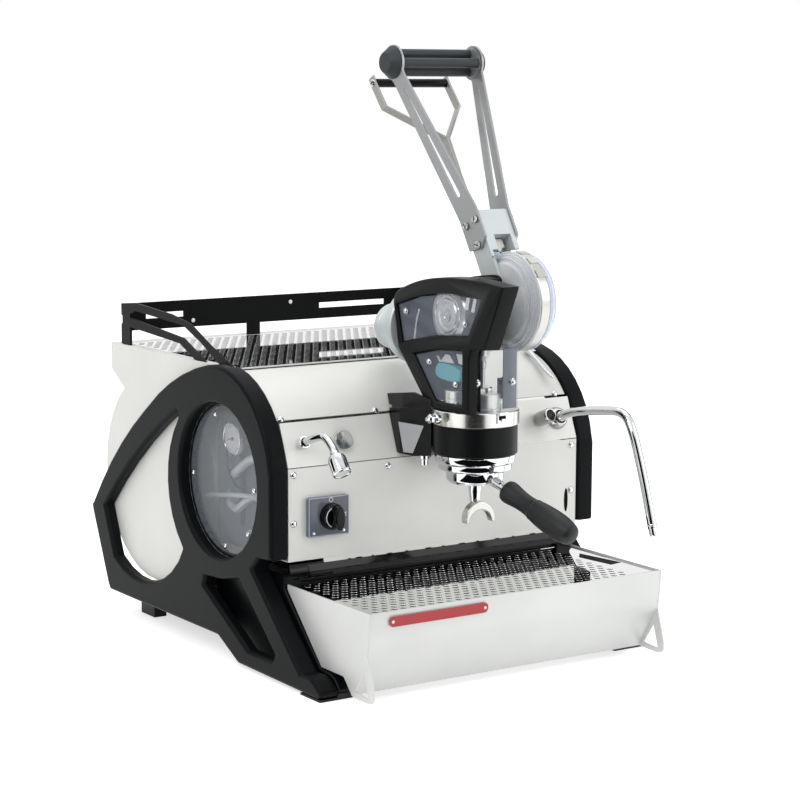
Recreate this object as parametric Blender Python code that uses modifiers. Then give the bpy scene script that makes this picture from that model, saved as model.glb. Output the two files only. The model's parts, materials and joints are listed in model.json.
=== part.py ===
"""A lever espresso machine: two cast side frames, a sheet body with a round boiler housing,
a lever group with its drum and lever, a portafilter, a steam wand and a drip tray.
X runs to the machine's right, Y to its back and Z up. Places are laid out from the middle of the
frames, the tray's front edge and the ground; the machine empty then centres the whole."""
import math

import bmesh
import bpy
from mathutils import Matrix, Vector

# Clearances
gap = 0.0003
overrun = 0.004
weld = 0.00005

# The machine: its side profile, its width and its sheet
side_size = 0.700
half_width = 0.256
web_thick = 0.016
flank_thick = 0.028
sheet = 0.0015
frame_edge = 0.005

# Side frame outline, as shares of the side profile's size (back, up)
front_shares = ((0.2586, 0.2214), (0.2586, 0.3743))
front_arc_shares = ((0.46, 0.3514), (0.2014, 0.2014))
top_arc_shares = ((0.3843, -0.0186), (0.5771, 0.5771))
rear_arc_shares = ((0.22, -0.35), (0.9429, 0.9429))
foot_shares = ((0.9814, 0.2114), (0.9771, 0.1971), (0.9114, 0.0543), (0.9029, 0.0443), (0.4571, 0.0443),
               (0.3814, 0.0071), (0.1029, 0.0043), (0.0914, 0.0114), (0.0914, 0.02), (0.1114, 0.0343),
               (0.1286, 0.04), (0.1586, 0.0386), (0.2257, 0.0986), (0.3271, 0.1943), (0.3043, 0.2171),
               (0.28, 0.2186))
hole_shares = ((0.4557, 0.3371), (0.1443, 0.1443))
crescent_top_shares = ((0.0143, -0.6643), (1.263, 1.263))
crescent_low_shares = ((0.7686, 0.3057), (0.2157, 0.2157))
crescent_front_shares = ((0.4743, 0.3171), (0.1771, 0.1771))
leg_window_shares = ((0.5029, 0.1486), (0.4429, 0.1529), (0.3757, 0.1671), (0.2486, 0.0529),
                     (0.2557, 0.04), (0.3429, 0.04), (0.51, 0.1314))
pocket_arc_shares = ((0.46, 0.3514), (0.1686, 0.1686))
pocket_shares = ((0.2914, 0.24), (0.3743, 0.2), (0.2143, 0.0457), (0.2143, -0.0286), (1.071, -0.0286),
                 (1.071, 0.7429), (0.4307, 0.7429))
angles_pocket = (100.0, 180.0)
angles_front = (180.0, 92.0)
angles_top = (79.0, 58.5)
angles_rear = (60.0, 36.8)
angles_crescent_top = (61.9, 44.2)
angles_crescent_low = (-60.0, -137.0)
angles_crescent_front = (-48.0, 42.0)

# Body panels, as shares of the side profile's size
lower_panel_shares = ((0.3743, 0.2121), (0.2636, 0.2136), (0.2636, 0.3829))
middle_panel_shares = ((0.2636, 0.3847), (0.2936, 0.4621))
upper_arc_shares = ((0.46, 0.3479), (0.1964, 0.1964))
angles_upper = (143.3, 98.6)
side_panel_shares = ((0.4317, 0.5464), (0.9257, 0.5464), (0.9257, 0.4929), (0.87, 0.4593))
side_front_shares = ((0.46, 0.3514), (0.1679, 0.1679))
angles_side_front = (180.0, 99.8)
housing_shares = ((0.75, 0.2957), (0.2029, 0.2029))
angles_housing = (53.5, -92.0)
side_low_shares = ((0.6286, 0.0936), (0.5714, 0.1843), (0.5314, 0.1814), (0.3743, 0.1814),
                   (0.3757, 0.2011), (0.2924, 0.2414))
wrap_front_shares = ((0.432, 0.5461), (0.9229, 0.5461), (0.9229, 0.495), (0.8721, 0.4636))
wrap_low_shares = ((0.6314, 0.0954), (0.5729, 0.1893), (0.3829, 0.1893))

# Chassis
base_low = 0.0315
base_thick = 0.003
apron_in = 0.0555
apron_place = half_width - apron_in
apron_thick = 0.002
base_front = 0.2005
base_back = 0.628
rib_in = 0.106
rib_place = half_width - rib_in
rib_thick = 0.004
rib_front = 0.440
rib_back = 0.600
foot_wide = 0.019
foot_in = 0.035
foot_out = half_width - foot_in
foot_front = 0.562
foot_deep = 0.040

# Inner legs and their rubber pads
inner_leg_space = 0.0528
inner_leg_in = half_width - inner_leg_space
leg_shares = ((0.0971, 0.0114), (0.0929, 0.0186), (0.1086, 0.0357), (0.1257, 0.0414), (0.1543, 0.0429),
              (0.2571, 0.14), (0.2686, 0.1514), (0.2779, 0.1629), (0.2779, 0.1871), (0.5029, 0.1871),
              (0.5314, 0.1429), (0.5314, 0.0657), (0.4543, 0.0543), (0.3743, 0.0129))
pad_front = 0.068
pad_deep = 0.046
pad_edge = 0.0025

# Windows in the side frames, and what shows through them
pane_radius = 0.0990
pane_thick = 0.010
pane_recess = 0.0005
pane_edge = 0.002
inner_wall_in = 0.06
inner_wall_place = half_width - inner_wall_in
inner_wall_thick = 0.002
inner_wall_shares = ((0.3771, 0.1921), (0.3771, 0.2171), (0.2929, 0.2171), (0.2929, 0.3857),
                     (0.3314, 0.48), (0.3743, 0.5143), (0.4729, 0.5386), (0.6014, 0.5386),
                     (0.6014, 0.1921))
gauge_shares = ((0.4986, 0.4043), (0.0329, 0.0329))
gauge_deep = 0.020
gauge_rim = 0.003
hose_radius = 0.0055
hose_stand = 0.008
hose_shares = ((0.3743, 0.2457), (0.3829, 0.28), (0.4171, 0.3057), (0.4543, 0.2943), (0.4943, 0.2714),
               (0.5314, 0.28))
pipe_shares = ((0.4286, 0.4143), (0.4086, 0.3743), (0.3743, 0.3543), (0.3429, 0.3657), (0.3257, 0.3429))

# Boiler inside its housing
boiler_radius = 0.085
boiler_wall = 0.002
boiler_in = 0.066
boiler_half = half_width - boiler_in
boiler_port = 0.010
saddle_in = 0.136
saddle_place = half_width - saddle_in
saddle_thick = 0.004

# Cup deck and rail
rail_in = 0.019
rail_half = half_width - rail_in
rail_sheet = 0.003
rail_shares = ((0.8871, 0.6271), (0.8271, 0.6329), (0.76, 0.6286), (0.6771, 0.6243), (0.6014, 0.6129),
               (0.5286, 0.5814), (0.4343, 0.5469), (0.4857, 0.5469), (0.56, 0.5814), (0.6286, 0.6071),
               (0.68, 0.61), (0.76, 0.6143), (0.8286, 0.6171), (0.8486, 0.6086), (0.8486, 0.6014),
               (0.6286, 0.5829), (0.54, 0.5469), (0.5843, 0.5469), (0.6429, 0.5714), (0.8486, 0.5829),
               (0.8486, 0.5469), (0.8871, 0.5469), (0.8871, 0.5857), (0.8786, 0.5914), (0.8786, 0.6),
               (0.8871, 0.6057))
rail_back_low = 0.400
rail_back_high = 0.4385
rail_slot_high = 0.008
rail_slot_in = 0.056
rail_slot_left_long = 0.060
rail_slot_right_long = 0.115
rail_slot_left = (rail_slot_in - half_width, rail_slot_in - half_width + rail_slot_left_long)
rail_slot_right = (half_width - rail_slot_in - rail_slot_right_long, half_width - rail_slot_in)
rail_post_left = -0.037
rail_post_right = -0.0155

# Drip tray
tray_in = 0.03
tray_half = half_width - tray_in
tray_sheet = 0.002
tray_front_shares = ((0, 0.1717), (0.0029, 0.1329), (0.0071, 0.0986), (0.0564, 0.0171))
tray_end_shares = ((-0.0007, 0.1721), (0.0021, 0.1329), (0.0064, 0.0986), (-0.0129, 0.0357),
                   (-0.0129, 0.0243), (-0.0086, 0.0179), (0, 0.015), (0.0086, 0.0143), (0.0557, 0.0164),
                   (0.0829, 0.045), (0.1557, 0.0457), (0.2557, 0.1471), (0.2657, 0.1571),
                   (0.2714, 0.1643), (0.2714, 0.1721))
tray_notch_shares = ((0.0171, 0.0657), (0.0443, 0.0264), (0.0029, 0.0229))
pan_in = 0.0552
pan_half = half_width - pan_in
pan_front = 0.0300
pan_low = 0.040
pan_lip_high = 0.1160
pan_wall = 0.0015
pan_lip_front = 0.0045
pan_back = 0.1885
grill_thick = 0.003
grill_rim = 0.010
grill_bar = 0.0045
grill_rows = 7
grill_columns = 9
badge_in = 0.058
badge_left = badge_in - half_width
badge_end_in = 0.203
badge_right = badge_end_in - half_width
badge_low = 0.1012
badge_high = 0.1140
badge_thick = 0.0015
badge_notch = 0.0035
gutter_in = 0.056
gutter_half = half_width - gutter_in
gutter_shares = ((0.2171, 0.1836), (0.2457, 0.1836), (0.2571, 0.1943), (0.2629, 0.2106),
                 (0.2721, 0.2106))

# Rotary switch, button and water spout on the front
switch_in = 0.053
switch_left = switch_in - half_width
switch_end_in = 0.113
switch_right = switch_end_in - half_width
switch_low = 0.179
switch_high = 0.230
switch_proud = 0.008
switch_edge = 0.003
knob_in = 0.086
knob_x = knob_in - half_width
knob_z = 0.2045
knob_radius = 0.0150
knob_deep = 0.014
knob_grip_wide = 0.008
knob_grip_deep = 0.010
button_in = 0.114
button_x = button_in - half_width
button_z = 0.2955
button_radius = 0.0110
button_proud = 0.0065
button_under = 0.0040
button_rim = 0.0015
button_stem = 0.0045
button_root = 0.0040
spout_in = 0.053
spout_x = spout_in - half_width
spout_z = 0.2965
socket_turn = 65.0
socket_steps = 6
ball_steps = 10
spout_collar_radius = 0.0125
spout_collar_deep = 0.012
spout_pipe = 0.0042
spout_ball = 0.0052
spout_reach = 0.0805
spout_rise = 0.012
nozzle_radius = 0.0100
nozzle_long = 0.029
nozzle_top = 0.2955
nozzle_tilt = 38.0

# Steam side
steam_in = 0.055
steam_x = half_width - steam_in
steam_z = 0.2965
steam_flange_radius = 0.0153
steam_flange_deep = 0.011
wand_radius = 0.0064
wand_ball = 0.0074
wand_reach = 0.100
wand_rise_z = 0.3205
wand_bend_reach = 0.160
wand_drop_reach = 0.199
wand_drift = 0.006
wand_tip_z = 0.166
wand_tip_long = 0.018
wand_tip_radius = 0.0050
steam_knob_in = 0.086
steam_knob_x = half_width - steam_knob_in
steam_knob_radius = 0.0100
steam_knob_deep = 0.030
steam_knob_bore = 0.0065
lever_bracket_angles = (112.0, 105.0)
lever_bracket_high = 0.010
lever_bracket_wide = 0.0060
small_lever_angles = (106.0, 112.0, 120.0, 128.0, 135.0)
small_lever_high_shares = (1.05, 1.10, 0.90, 1.00, 1.45)
small_lever_low_shares = (0.60, 0.50, 0.40, 0.50, 1.05)
small_lever_wide = 0.006
small_lever_in = 0.049
small_lever_x = half_width - small_lever_in

# Group
group_y = 0.103
ring_radius = 0.0557
ring_low = 0.3196
ring_high = 0.3384
band_radius = 0.0539
band_low = 0.2816
bell_radius = 0.0517
bell_low = 0.2698
step_radius = 0.0476
step_low = 0.2604
neck_half = 0.064
neck_waist = 0.0475
neck_tip = 0.030
neck_tip_y = 0.110
neck_waist_y = 0.132
neck_root_y = 0.180
neck_side_shares = ((0.1429, 0.3954), (0.23, 0.3907), (0.2657, 0.3929), (0.292, 0.4614),
                    (0.292, 0.4729), (0.2143, 0.4829), (0.1429, 0.4829))
wing_shares = ((0.2919, 0.4686), (0.2919, 0.4771), (0.3014, 0.4771), (0.3086, 0.4971), (0.2343, 0.5071),
               (0.1686, 0.4971), (0.1686, 0.48), (0.2143, 0.4771), (0.2429, 0.4686))
wing_half = 0.060
wing_cut_left = -0.0506
wing_cut_right = 0.0278

# Portafilter
cup_radius = 0.0370
cup_low = 0.2435
cup_edge = 0.003
basket_radius = 0.0300
basket_floor = 0.2480
stem_radius = 0.0090
arch_half = 0.0205
arch_front = 0.0080
arch_low = 0.1910
arch_high = 0.2160
arch_tube = 0.0048
handle_turn = 10.5
handle_drop = 21.0
handle_z = 0.2465
handle_neck = 0.0075
neck_start = 0.0376
grip_start = 0.0560
grip_long = 0.1203
grip_collar_radius = 0.0145
grip_waist_radius = 0.0120
grip_radius = 0.0168

# Head over the group
cover_left_out = -0.050
cover_left_in = -0.025
cover_right_in = 0.0222
cover_right_out = 0.0272
cover_edge = 0.004
cover_face = 0.0065
cover_wall = 0.0060
head_size = 0.500
cover_shares = ((0.276, 0.678), (0.412, 0.816), (0.436, 0.936), (0.414, 0.964), (0.32, 0.998),
                (0.2, 1.014), (0.06, 1.015), (-0.04, 1.007), (-0.026, 0.976), (0.036, 0.846),
                (0.092, 0.842), (0.1, 0.816), (0.1, 0.678))
cover_right_shares = ((0.276, 0.678), (0.412, 0.816), (0.436, 0.936), (0.414, 0.964), (0.32, 0.998),
                      (0.2, 1.014), (0.172, 1.006), (0.16, 0.98), (0.16, 0.88), (0.172, 0.852),
                      (0.254, 0.84), (0.262, 0.8), (0.262, 0.678))
upper_window_shares = ((0.424, 0.926), (0.32, 0.956), (0.2, 0.972), (0.052, 0.972), (0.108, 0.874),
                       (0.24, 0.864), (0.398, 0.832))
lower_window_shares = ((0.344, 0.806), (0.236, 0.828), (0.13, 0.836), (0.13, 0.698), (0.246, 0.698))
core_shares = ((0.168, 0.846), (0.164, 0.96), (0.178, 0.992), (0.2, 0.996), (0.408, 0.948),
               (0.41, 0.848), (0.344, 0.772), (0.3, 0.6774), (0.256, 0.6774), (0.256, 0.8),
               (0.272, 0.824), (0.272, 0.846))
pane_sheet = 0.002
pane_set = 0.004
glass_radius = 0.0560
glass_sheet = 0.003
glass_high = 0.4180
glass_angle = 36.0
barrel_z = 0.425
barrel_collar = 0.0440
barrel_radius = 0.0300
barrel_start = 0.2058
barrel_face = 0.2240
barrel_stub = 0.0215
barrel_step = 0.2400
barrel_cone = 0.262
barrel_end = 0.297
piston_radius = 0.0210
piston_low = 0.3440
piston_high = 0.3660
rod_radius = 0.0060
rod_high = 0.4265
rod_bore_high = 0.4610

# Drum and lever; the lever is laid out standing up on its axle
axle_z = 0.471
axle_y = 0.098
lean = 31.3
axle_radius = 0.0080
axle_left = -0.0420
hub_radius = 0.0260
hub_right = -0.0254
lever_x = 0.055
wheel_radius = 0.0654
wheel_left = 0.0510
wheel_right = 0.0650
wheel_teeth = 24
tooth_deep = 0.0030
drum_left = 0.0362
drum_right = 0.0810
drum_radius = 0.0640
drum_step_radius = 0.0520
drum_step = 0.006
drum_wall = 0.0025
yoke_left = 0.0315
yoke_right = 0.0785
yoke_low = 0.0665
yoke_high = 0.1240
yoke_half = 0.0170
yoke_cheek = 0.0042
yoke_window_low = 0.0600
yoke_window_high = 0.0880
yoke_window_half = 0.0130
arm_thick = 0.0030
arm_root = 0.0268
arm_top = 0.0650
arm_low = 0.0850
arm_bend = 0.1270
arm_high = 0.3515
arm_wide = 0.0400
arm_neck = 0.0250
arm_slot_low = 0.1550
arm_slot_high = 0.3100
arm_slot_wide = 0.0090
arm_slot_tip = 0.0030
disc_radius = 0.0230
bar_radius = 0.0064
bar_ring = 0.0135
cap_long = 0.0130
cap_right_long = 0.0060
cap_radius = 0.0215
cap_end_radius = 0.0130

# Release bail and pawl, in the lever's own upright frame (up, back)
bail_stem_low = 0.1252
bail_stem_low_back = 0.0225
bail_stem_mid = 0.1966
bail_stem_mid_back = 0.0270
bail_fork = 0.2511
bail_fork_back = 0.0265
bail_knee = 0.3163
bail_knee_back = 0.0550
bail_grip_up = 0.3574
bail_grip_back = 0.0612
bail_half = 0.0575
bail_strap_thick = 0.0030
bail_ear_thick = 0.0030
bail_ear_high = 0.0090
bail_ear_low = 0.0100
bail_strap_wide = 0.0120
bail_grip_radius = 0.0058

front_reach = -0.0650
rear_share = 0.9815
centre_y = (front_reach + rear_share * side_size) / 2


def clear_scene():
    for item in list(bpy.data.objects):
        bpy.data.objects.remove(item, do_unlink=True)


def new_collection(name):
    group = bpy.data.collections.new(name)
    bpy.context.scene.collection.children.link(group)
    return group


def material(name, look):
    colour, roughness, metallic, alpha = look
    made = bpy.data.materials.new(name)
    made.use_nodes = True
    shader = made.node_tree.nodes["Principled BSDF"]
    shader.inputs["Base Color"].default_value = (*colour, 1.0)
    shader.inputs["Roughness"].default_value = roughness
    shader.inputs["Metallic"].default_value = metallic
    shader.inputs["Alpha"].default_value = alpha
    return made


black_paint = ((0.028, 0.031, 0.033), 0.42, 0.0, 1.0)
black_plastic = ((0.022, 0.023, 0.025), 0.5, 0.0, 1.0)
rubber = ((0.015, 0.015, 0.016), 0.8, 0.0, 1.0)
steel = ((0.72, 0.71, 0.68), 0.28, 1.0, 1.0)
chrome = ((0.86, 0.86, 0.87), 0.08, 1.0, 1.0)
aluminium = ((0.66, 0.68, 0.68), 0.38, 1.0, 1.0)
light_grey = ((0.66, 0.70, 0.71), 0.45, 0.2, 1.0)
copper = ((0.72, 0.34, 0.20), 0.3, 1.0, 1.0)
clear = ((0.80, 0.84, 0.90), 0.06, 0.0, 0.35)
red_plate = ((0.55, 0.02, 0.03), 0.3, 0.0, 1.0)

clear_scene()
pieces = new_collection("lever_espresso_machine")
cutters = new_collection("cutters")
machine = bpy.data.objects.new("machine", None)
pieces.objects.link(machine)
machine.location = (0.0, -centre_y, 0.0)


def empty(name, place, parent=None, turn=(0.0, 0.0, 0.0)):
    item = bpy.data.objects.new(name, None)
    pieces.objects.link(item)
    item.parent = parent or machine
    item.location = place
    item.rotation_euler = [math.radians(angle) for angle in turn]
    return item


def add(name, mesh, look, parent=None, smooth=35.0):
    """Link a mesh as a node, or as a cutter when it has no look."""
    item = bpy.data.objects.new(name, mesh)
    (pieces if look else cutters).objects.link(item)
    item.parent = parent or machine
    if look:
        mesh.materials.clear()
        mesh.materials.append(material(name, look))
        mesh.shade_smooth()
        mesh.set_sharp_from_angle(angle=math.radians(smooth))
    else:
        item.hide_render = True
        item.display_type = "WIRE"
    return item


def stay(item, anchor):
    """Hang a piece laid out in the machine's own places on a joint's empty."""
    item.parent = anchor
    item.matrix_parent_inverse = Matrix.Translation(-anchor.location)
    return item


def sized(shares, size=None):
    scale = size or side_size
    return [(a * scale, b * scale) for a, b in shares]


def arc(shares, angles, steps, size=None):
    """Points on the circle whose centre and radius are shares of a size."""
    (across, up), (radius, _) = sized(shares, size)
    first, last = (math.radians(angle) for angle in angles)
    turns = [first + (last - first) * step / steps for step in range(steps + 1)]
    return [(across + radius * math.cos(turn), up + radius * math.sin(turn)) for turn in turns]


def ring_points(centre, radius, count):
    turns = [math.tau * step / count for step in range(count)]
    return [(centre[0] + radius * math.cos(turn), centre[1] + radius * math.sin(turn)) for turn in turns]


def turned_way(axis):
    """The turn that sends an outline's (across, up, thick) to the named axis."""
    if axis == "X":
        return Matrix(((0, 0, 1, 0), (1, 0, 0, 0), (0, 1, 0, 0), (0, 0, 0, 1)))
    if axis == "Y":
        return Matrix(((1, 0, 0, 0), (0, 0, -1, 0), (0, 1, 0, 0), (0, 0, 0, 1)))
    return Matrix.Identity(4)


def curve_mesh(curve):
    """The mesh of a curve, with its caps welded on."""
    item = bpy.data.objects.new("outline", curve)
    cutters.objects.link(item)
    bpy.context.view_layer.update()
    graph = bpy.context.evaluated_depsgraph_get()
    mesh = bpy.data.meshes.new_from_object(item.evaluated_get(graph))
    bpy.data.objects.remove(item, do_unlink=True)
    work = bmesh.new()
    work.from_mesh(mesh)
    bmesh.ops.remove_doubles(work, verts=work.verts, dist=weld)
    bmesh.ops.recalc_face_normals(work, faces=work.faces)
    work.to_mesh(mesh)
    work.free()
    return mesh


def plate(name, outlines, axis, low, high, look=None, parent=None, edge=0.0, segments=2, shrink=0.0):
    """A flat outline, with any holes, between two places along an axis, its edges rounded if asked."""
    curve = bpy.data.curves.new(name, "CURVE")
    curve.dimensions = "2D"
    curve.fill_mode = "BOTH"
    curve.extrude = (high - low) / 2 - edge
    curve.bevel_depth = edge
    curve.bevel_resolution = segments - 1
    curve.offset = -edge - shrink
    for outline in outlines:
        spline = curve.splines.new("POLY")
        spline.points.add(len(outline) - 1)
        for point, (across, up) in zip(spline.points, outline):
            point.co = (across, up, 0.0, 1.0)
        spline.use_cyclic_u = True
    mesh = curve_mesh(curve)
    middle = (high + low) / 2
    lift = -middle if axis == "Y" else middle
    mesh.transform(turned_way(axis) @ Matrix.Translation((0.0, 0.0, lift)))
    return add(name, mesh, look, parent)


def round_edges(item, width, segments=2, angle=40.0):
    bevel = item.modifiers.new("edges", "BEVEL")
    bevel.width = width
    bevel.segments = segments
    bevel.limit_method = "ANGLE"
    bevel.angle_limit = math.radians(angle)
    bevel.use_clamp_overlap = True


def combine(item, other, operation):
    step = item.modifiers.new(operation.lower(), "BOOLEAN")
    step.operation = operation
    step.object = other
    step.solver = "EXACT"


def cut(item, *others):
    for other in others:
        combine(item, other, "DIFFERENCE")


def join(item, *others):
    for other in others:
        combine(item, other, "UNION")


def box(name, low, high, look=None, parent=None, edge=0.0, segments=1):
    work = bmesh.new()
    size = [b - a for a, b in zip(low, high)]
    middle = [(a + b) / 2 for a, b in zip(low, high)]
    bmesh.ops.create_cube(work, size=1.0, matrix=Matrix.Translation(middle) @ Matrix.Diagonal((*size,
                                                                                               1.0)))
    mesh = bpy.data.meshes.new(name)
    work.to_mesh(mesh)
    work.free()
    item = add(name, mesh, look, parent)
    if edge:
        round_edges(item, edge, segments)
    return item


def turned(name, profile, centre, aim, steps, look=None, parent=None):
    """A profile of (radius, along) pairs turned round an axis; along runs from high to low."""
    mesh = bpy.data.meshes.new(name)
    work = bmesh.new()
    points = [work.verts.new((radius, 0.0, along)) for radius, along in profile]
    for first, last in zip(points, points[1:]):
        work.edges.new((first, last))
    if profile[0][0] and profile[-1][0]:
        work.edges.new((points[-1], points[0]))
    work.to_mesh(mesh)
    work.free()
    item = add(name, mesh, look, parent)
    item.location = centre
    item.rotation_euler = Vector(aim).to_track_quat("Z", "Y").to_euler()
    screw = item.modifiers.new("turn", "SCREW")
    screw.steps = steps
    screw.render_steps = steps
    screw.use_merge_vertices = True
    screw.merge_threshold = weld
    screw.use_smooth_shade = True
    return item


def rod(name, centre, aim, radius, long, steps, look=None, parent=None, edge=0.0):
    """A round bar from a centre, along an axis."""
    if edge:
        profile = [(0.0, long), (radius - edge, long), (radius, long - edge), (radius, edge),
                   (radius - edge, 0.0),
                   (0.0, 0.0)]
    else:
        profile = [(0.0, long), (radius, long), (radius, 0.0), (0.0, 0.0)]
    return turned(name, profile, centre, aim, steps, look, parent)


def tube(name, route, radius, look=None, parent=None, resolution=2, smooth_steps=4):
    """A bent bar along a smooth curve through its route's points."""
    places = [Vector(point) for point in route]
    run = []
    for index in range(len(places) - 1):
        before = places[max(index - 1, 0)]
        start, end = places[index], places[index + 1]
        after = places[min(index + 2, len(places) - 1)]
        for step in range(smooth_steps):
            t = step / smooth_steps
            run.append(((start * 2) + (end - before) * t + (before * 2 - start * 5 + end * 4 - after) * t * t
                        + (start * 3 - before - end * 3 + after) * t ** 3) / 2)
    run.append(places[-1])
    curve = bpy.data.curves.new(name, "CURVE")
    curve.dimensions = "3D"
    curve.bevel_depth = radius
    curve.bevel_resolution = resolution
    curve.use_fill_caps = True
    spline = curve.splines.new("POLY")
    spline.points.add(len(run) - 1)
    for point, place in zip(spline.points, run):
        point.co = (*place, 1.0)
    return add(name, curve_mesh(curve), look, parent)


def strip(points, thick):
    """The closed outline of a sheet of even thickness on the left of a run of points."""
    places = [Vector(point) for point in points]
    far = []
    for index, place in enumerate(places):
        before = (place - places[index - 1]).normalized() if index else None
        after = (places[index + 1] - place).normalized() if index < len(places) - 1 else None
        first, second = before or after, after or before
        side = (Vector((-first.y, first.x)) + Vector((-second.y, second.x))).normalized()
        reach = thick / max(side.dot(Vector((-first.y, first.x))), 0.3)
        far.append(place + side * reach)
    return [tuple(place) for place in places] + [tuple(place) for place in reversed(far)]


def span(side, inner, outer):
    return sorted((side * inner, side * outer))


def frame(name, side):
    outline = sized(front_shares) + arc(front_arc_shares, angles_front, 10)[1:]
    outline += arc(top_arc_shares, angles_top, 4) + arc(rear_arc_shares, angles_rear, 6)[1:]
    outline += sized(foot_shares)
    crescent = arc(crescent_top_shares, angles_crescent_top, 5)
    crescent += arc(crescent_low_shares, angles_crescent_low, 7)
    crescent += arc(crescent_front_shares, angles_crescent_front, 8)
    centre, (radius, _) = sized(hole_shares)
    window = sized(leg_window_shares)
    outer = span(side, half_width - flank_thick, half_width)
    item = plate(name, [outline, crescent, ring_points(centre, radius, 36), window], "X", *outer,
                 black_paint,
                 edge=frame_edge)
    pocket = arc(pocket_arc_shares, angles_pocket, 12) + sized(pocket_shares)
    inner = span(side, half_width - flank_thick - overrun, half_width - web_thick)
    cut(item, plate(name + "_pocket", [pocket], "X", *inner))
    return item


def inner_leg(name, side):
    inner = span(side, inner_leg_in, half_width - flank_thick - gap)
    return plate(name, [sized(leg_shares)], "X", *inner, black_paint, edge=0.0)


def pad(name, side, look=None):
    """A stepped rubber pad, under the frame's toe and the inner leg's."""
    sole = min(up for _, up in sized(foot_shares)) - gap
    inner_sole = min(up for _, up in sized(leg_shares)) - gap
    step = side * (half_width - flank_thick)
    outer = side * (half_width - pad_edge)
    inner = side * (inner_leg_in + pad_edge)
    outline = [(outer, 0.0), (outer, sole), (step, sole), (step, inner_sole), (inner, inner_sole),
               (inner, 0.0)]
    return plate(name, [outline], "Y", pad_front, pad_front + pad_deep, look)


def panel(name, run, reach, thick=None, look=steel):
    """A sheet that follows a run of the side profile, across the machine."""
    return plate(name, [strip(run, thick or sheet)], "X", -reach, reach, look)


def side_panel(name, side):
    outline = sized(side_panel_shares) + arc(housing_shares, angles_housing, 14) + sized(side_low_shares)
    outline += arc(side_front_shares, angles_side_front, 12)
    centre, _ = sized(hole_shares)
    inner = span(side, half_width - web_thick - gap - sheet, half_width - web_thick - gap)
    return plate(name, [outline, ring_points(centre, pane_radius + gap * 2, 36)], "X", *inner, steel)


def wrap():
    """The bent sheet behind: deck, rear lip, round boiler housing and floor."""
    centre, (radius, _) = sized(housing_shares)
    shell = arc(((centre[0], centre[1]), (radius - gap, radius - gap)), angles_housing, 20, 1.0)
    run = sized(wrap_front_shares)[:3] + shell + sized(wrap_low_shares)
    run.reverse()
    reach = half_width - web_thick - gap * 2 - sheet
    return panel("body_wrap", run, reach)


def chassis():
    """The floor plate between the frames, with its apron, ribs and rear feet."""
    reach = half_width - web_thick - gap
    slim = inner_leg_in - gap
    step = max(back for back, _ in sized(leg_shares)) + gap * 4
    floor = box("chassis", (-reach, step, base_low), (reach, base_back, base_low + base_thick),
                black_paint)
    join(floor, box("front_floor", (-slim, base_front, base_low),
                    (slim, step + overrun, base_low + base_thick)))
    top = sized(wrap_low_shares)[2][1] - gap
    lift = base_low + base_thick / 2
    join(floor, box("apron", (-slim, apron_place, lift), (slim, apron_place + apron_thick, top)))
    centre, (radius, _) = sized(housing_shares)
    for side in (-1, 1):
        ribs = span(side, rib_place, rib_place + rib_thick)
        rib = box("rib", (ribs[0], rib_front + overrun, lift), (ribs[1], rib_back, centre[1] - radius))
        join(floor, rib, rear_foot("rear_foot", side))
    return floor


def rear_foot(name, side):
    across = span(side, foot_out - foot_wide, foot_out)
    return box(name, (across[0], foot_front, 0.0), (across[1], foot_front + foot_deep,
                                                    base_low + base_thick / 2))


def pane(name, side):
    (back, up), _ = sized(hole_shares)
    face = half_width - web_thick - pane_recess
    profile = [(0.0, pane_thick), (pane_radius - pane_edge, pane_thick),
               (pane_radius, pane_thick - pane_edge),
               (pane_radius, 0.0), (0.0, 0.0)]
    return turned(name, profile, (side * (face - pane_thick), back, up), (side, 0, 0), 40, clear)


def inner_wall(name, side):
    across = span(side, inner_wall_place - inner_wall_thick, inner_wall_place)
    return plate(name, [sized(inner_wall_shares)], "X", *across, light_grey)


def gauge():
    (back, up), (radius, _) = sized(gauge_shares)
    profile = [(0.0, gauge_deep - gauge_rim), (radius - gauge_rim, gauge_deep - gauge_rim),
               (radius - gauge_rim, gauge_deep), (radius, gauge_deep - gauge_rim / 2), (radius,
                                                                                        0.0), (0.0, 0.0)]
    return turned("pressure_gauge", profile, (-inner_wall_place - gap, back, up), (-1, 0, 0), 32, chrome)


def hose(name, shares, look, radius, rise):
    """A hose that leaves the inner wall, runs beside it and returns to it."""
    wall = -inner_wall_place - gap
    run = sized(shares)
    out = wall - rise - radius
    near, far = wall - rise / 2, wall - rise / 2 - radius
    route = [(wall, *run[0]), (near, *run[0]), (far, *run[0])] + [(out, *place) for place in run[1:-1]]
    route += [(far, *run[-1]), (near, *run[-1]), (wall, *run[-1])]
    return tube(name, route, radius, look, resolution=1, smooth_steps=3)


def boiler():
    """The vessel, with its two flanges that seat in the round housing."""
    centre, (radius, _) = sized(housing_shares)
    inside = boiler_radius - boiler_wall
    long = boiler_half * 2
    seat = radius - gap * 3 - sheet
    profile = [(boiler_port, long), (boiler_radius, long)]
    for place in (boiler_half + saddle_place, boiler_half - saddle_place):
        profile += [(boiler_radius, place + saddle_thick / 2), (seat, place + saddle_thick / 2),
                    (seat, place - saddle_thick / 2), (boiler_radius, place - saddle_thick / 2)]
    profile += [(boiler_radius, 0.0), (boiler_port, 0.0), (boiler_port, boiler_wall),
                (inside, boiler_wall),
                (inside, long - boiler_wall), (boiler_port, long - boiler_wall)]
    return turned("boiler", profile, (-boiler_half, *centre), (1, 0, 0), 28, steel)


def rail_side(name, side):
    across = span(side, rail_half - rail_sheet, rail_half)
    return plate(name, [sized(rail_shares)], "X", *across)


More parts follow.
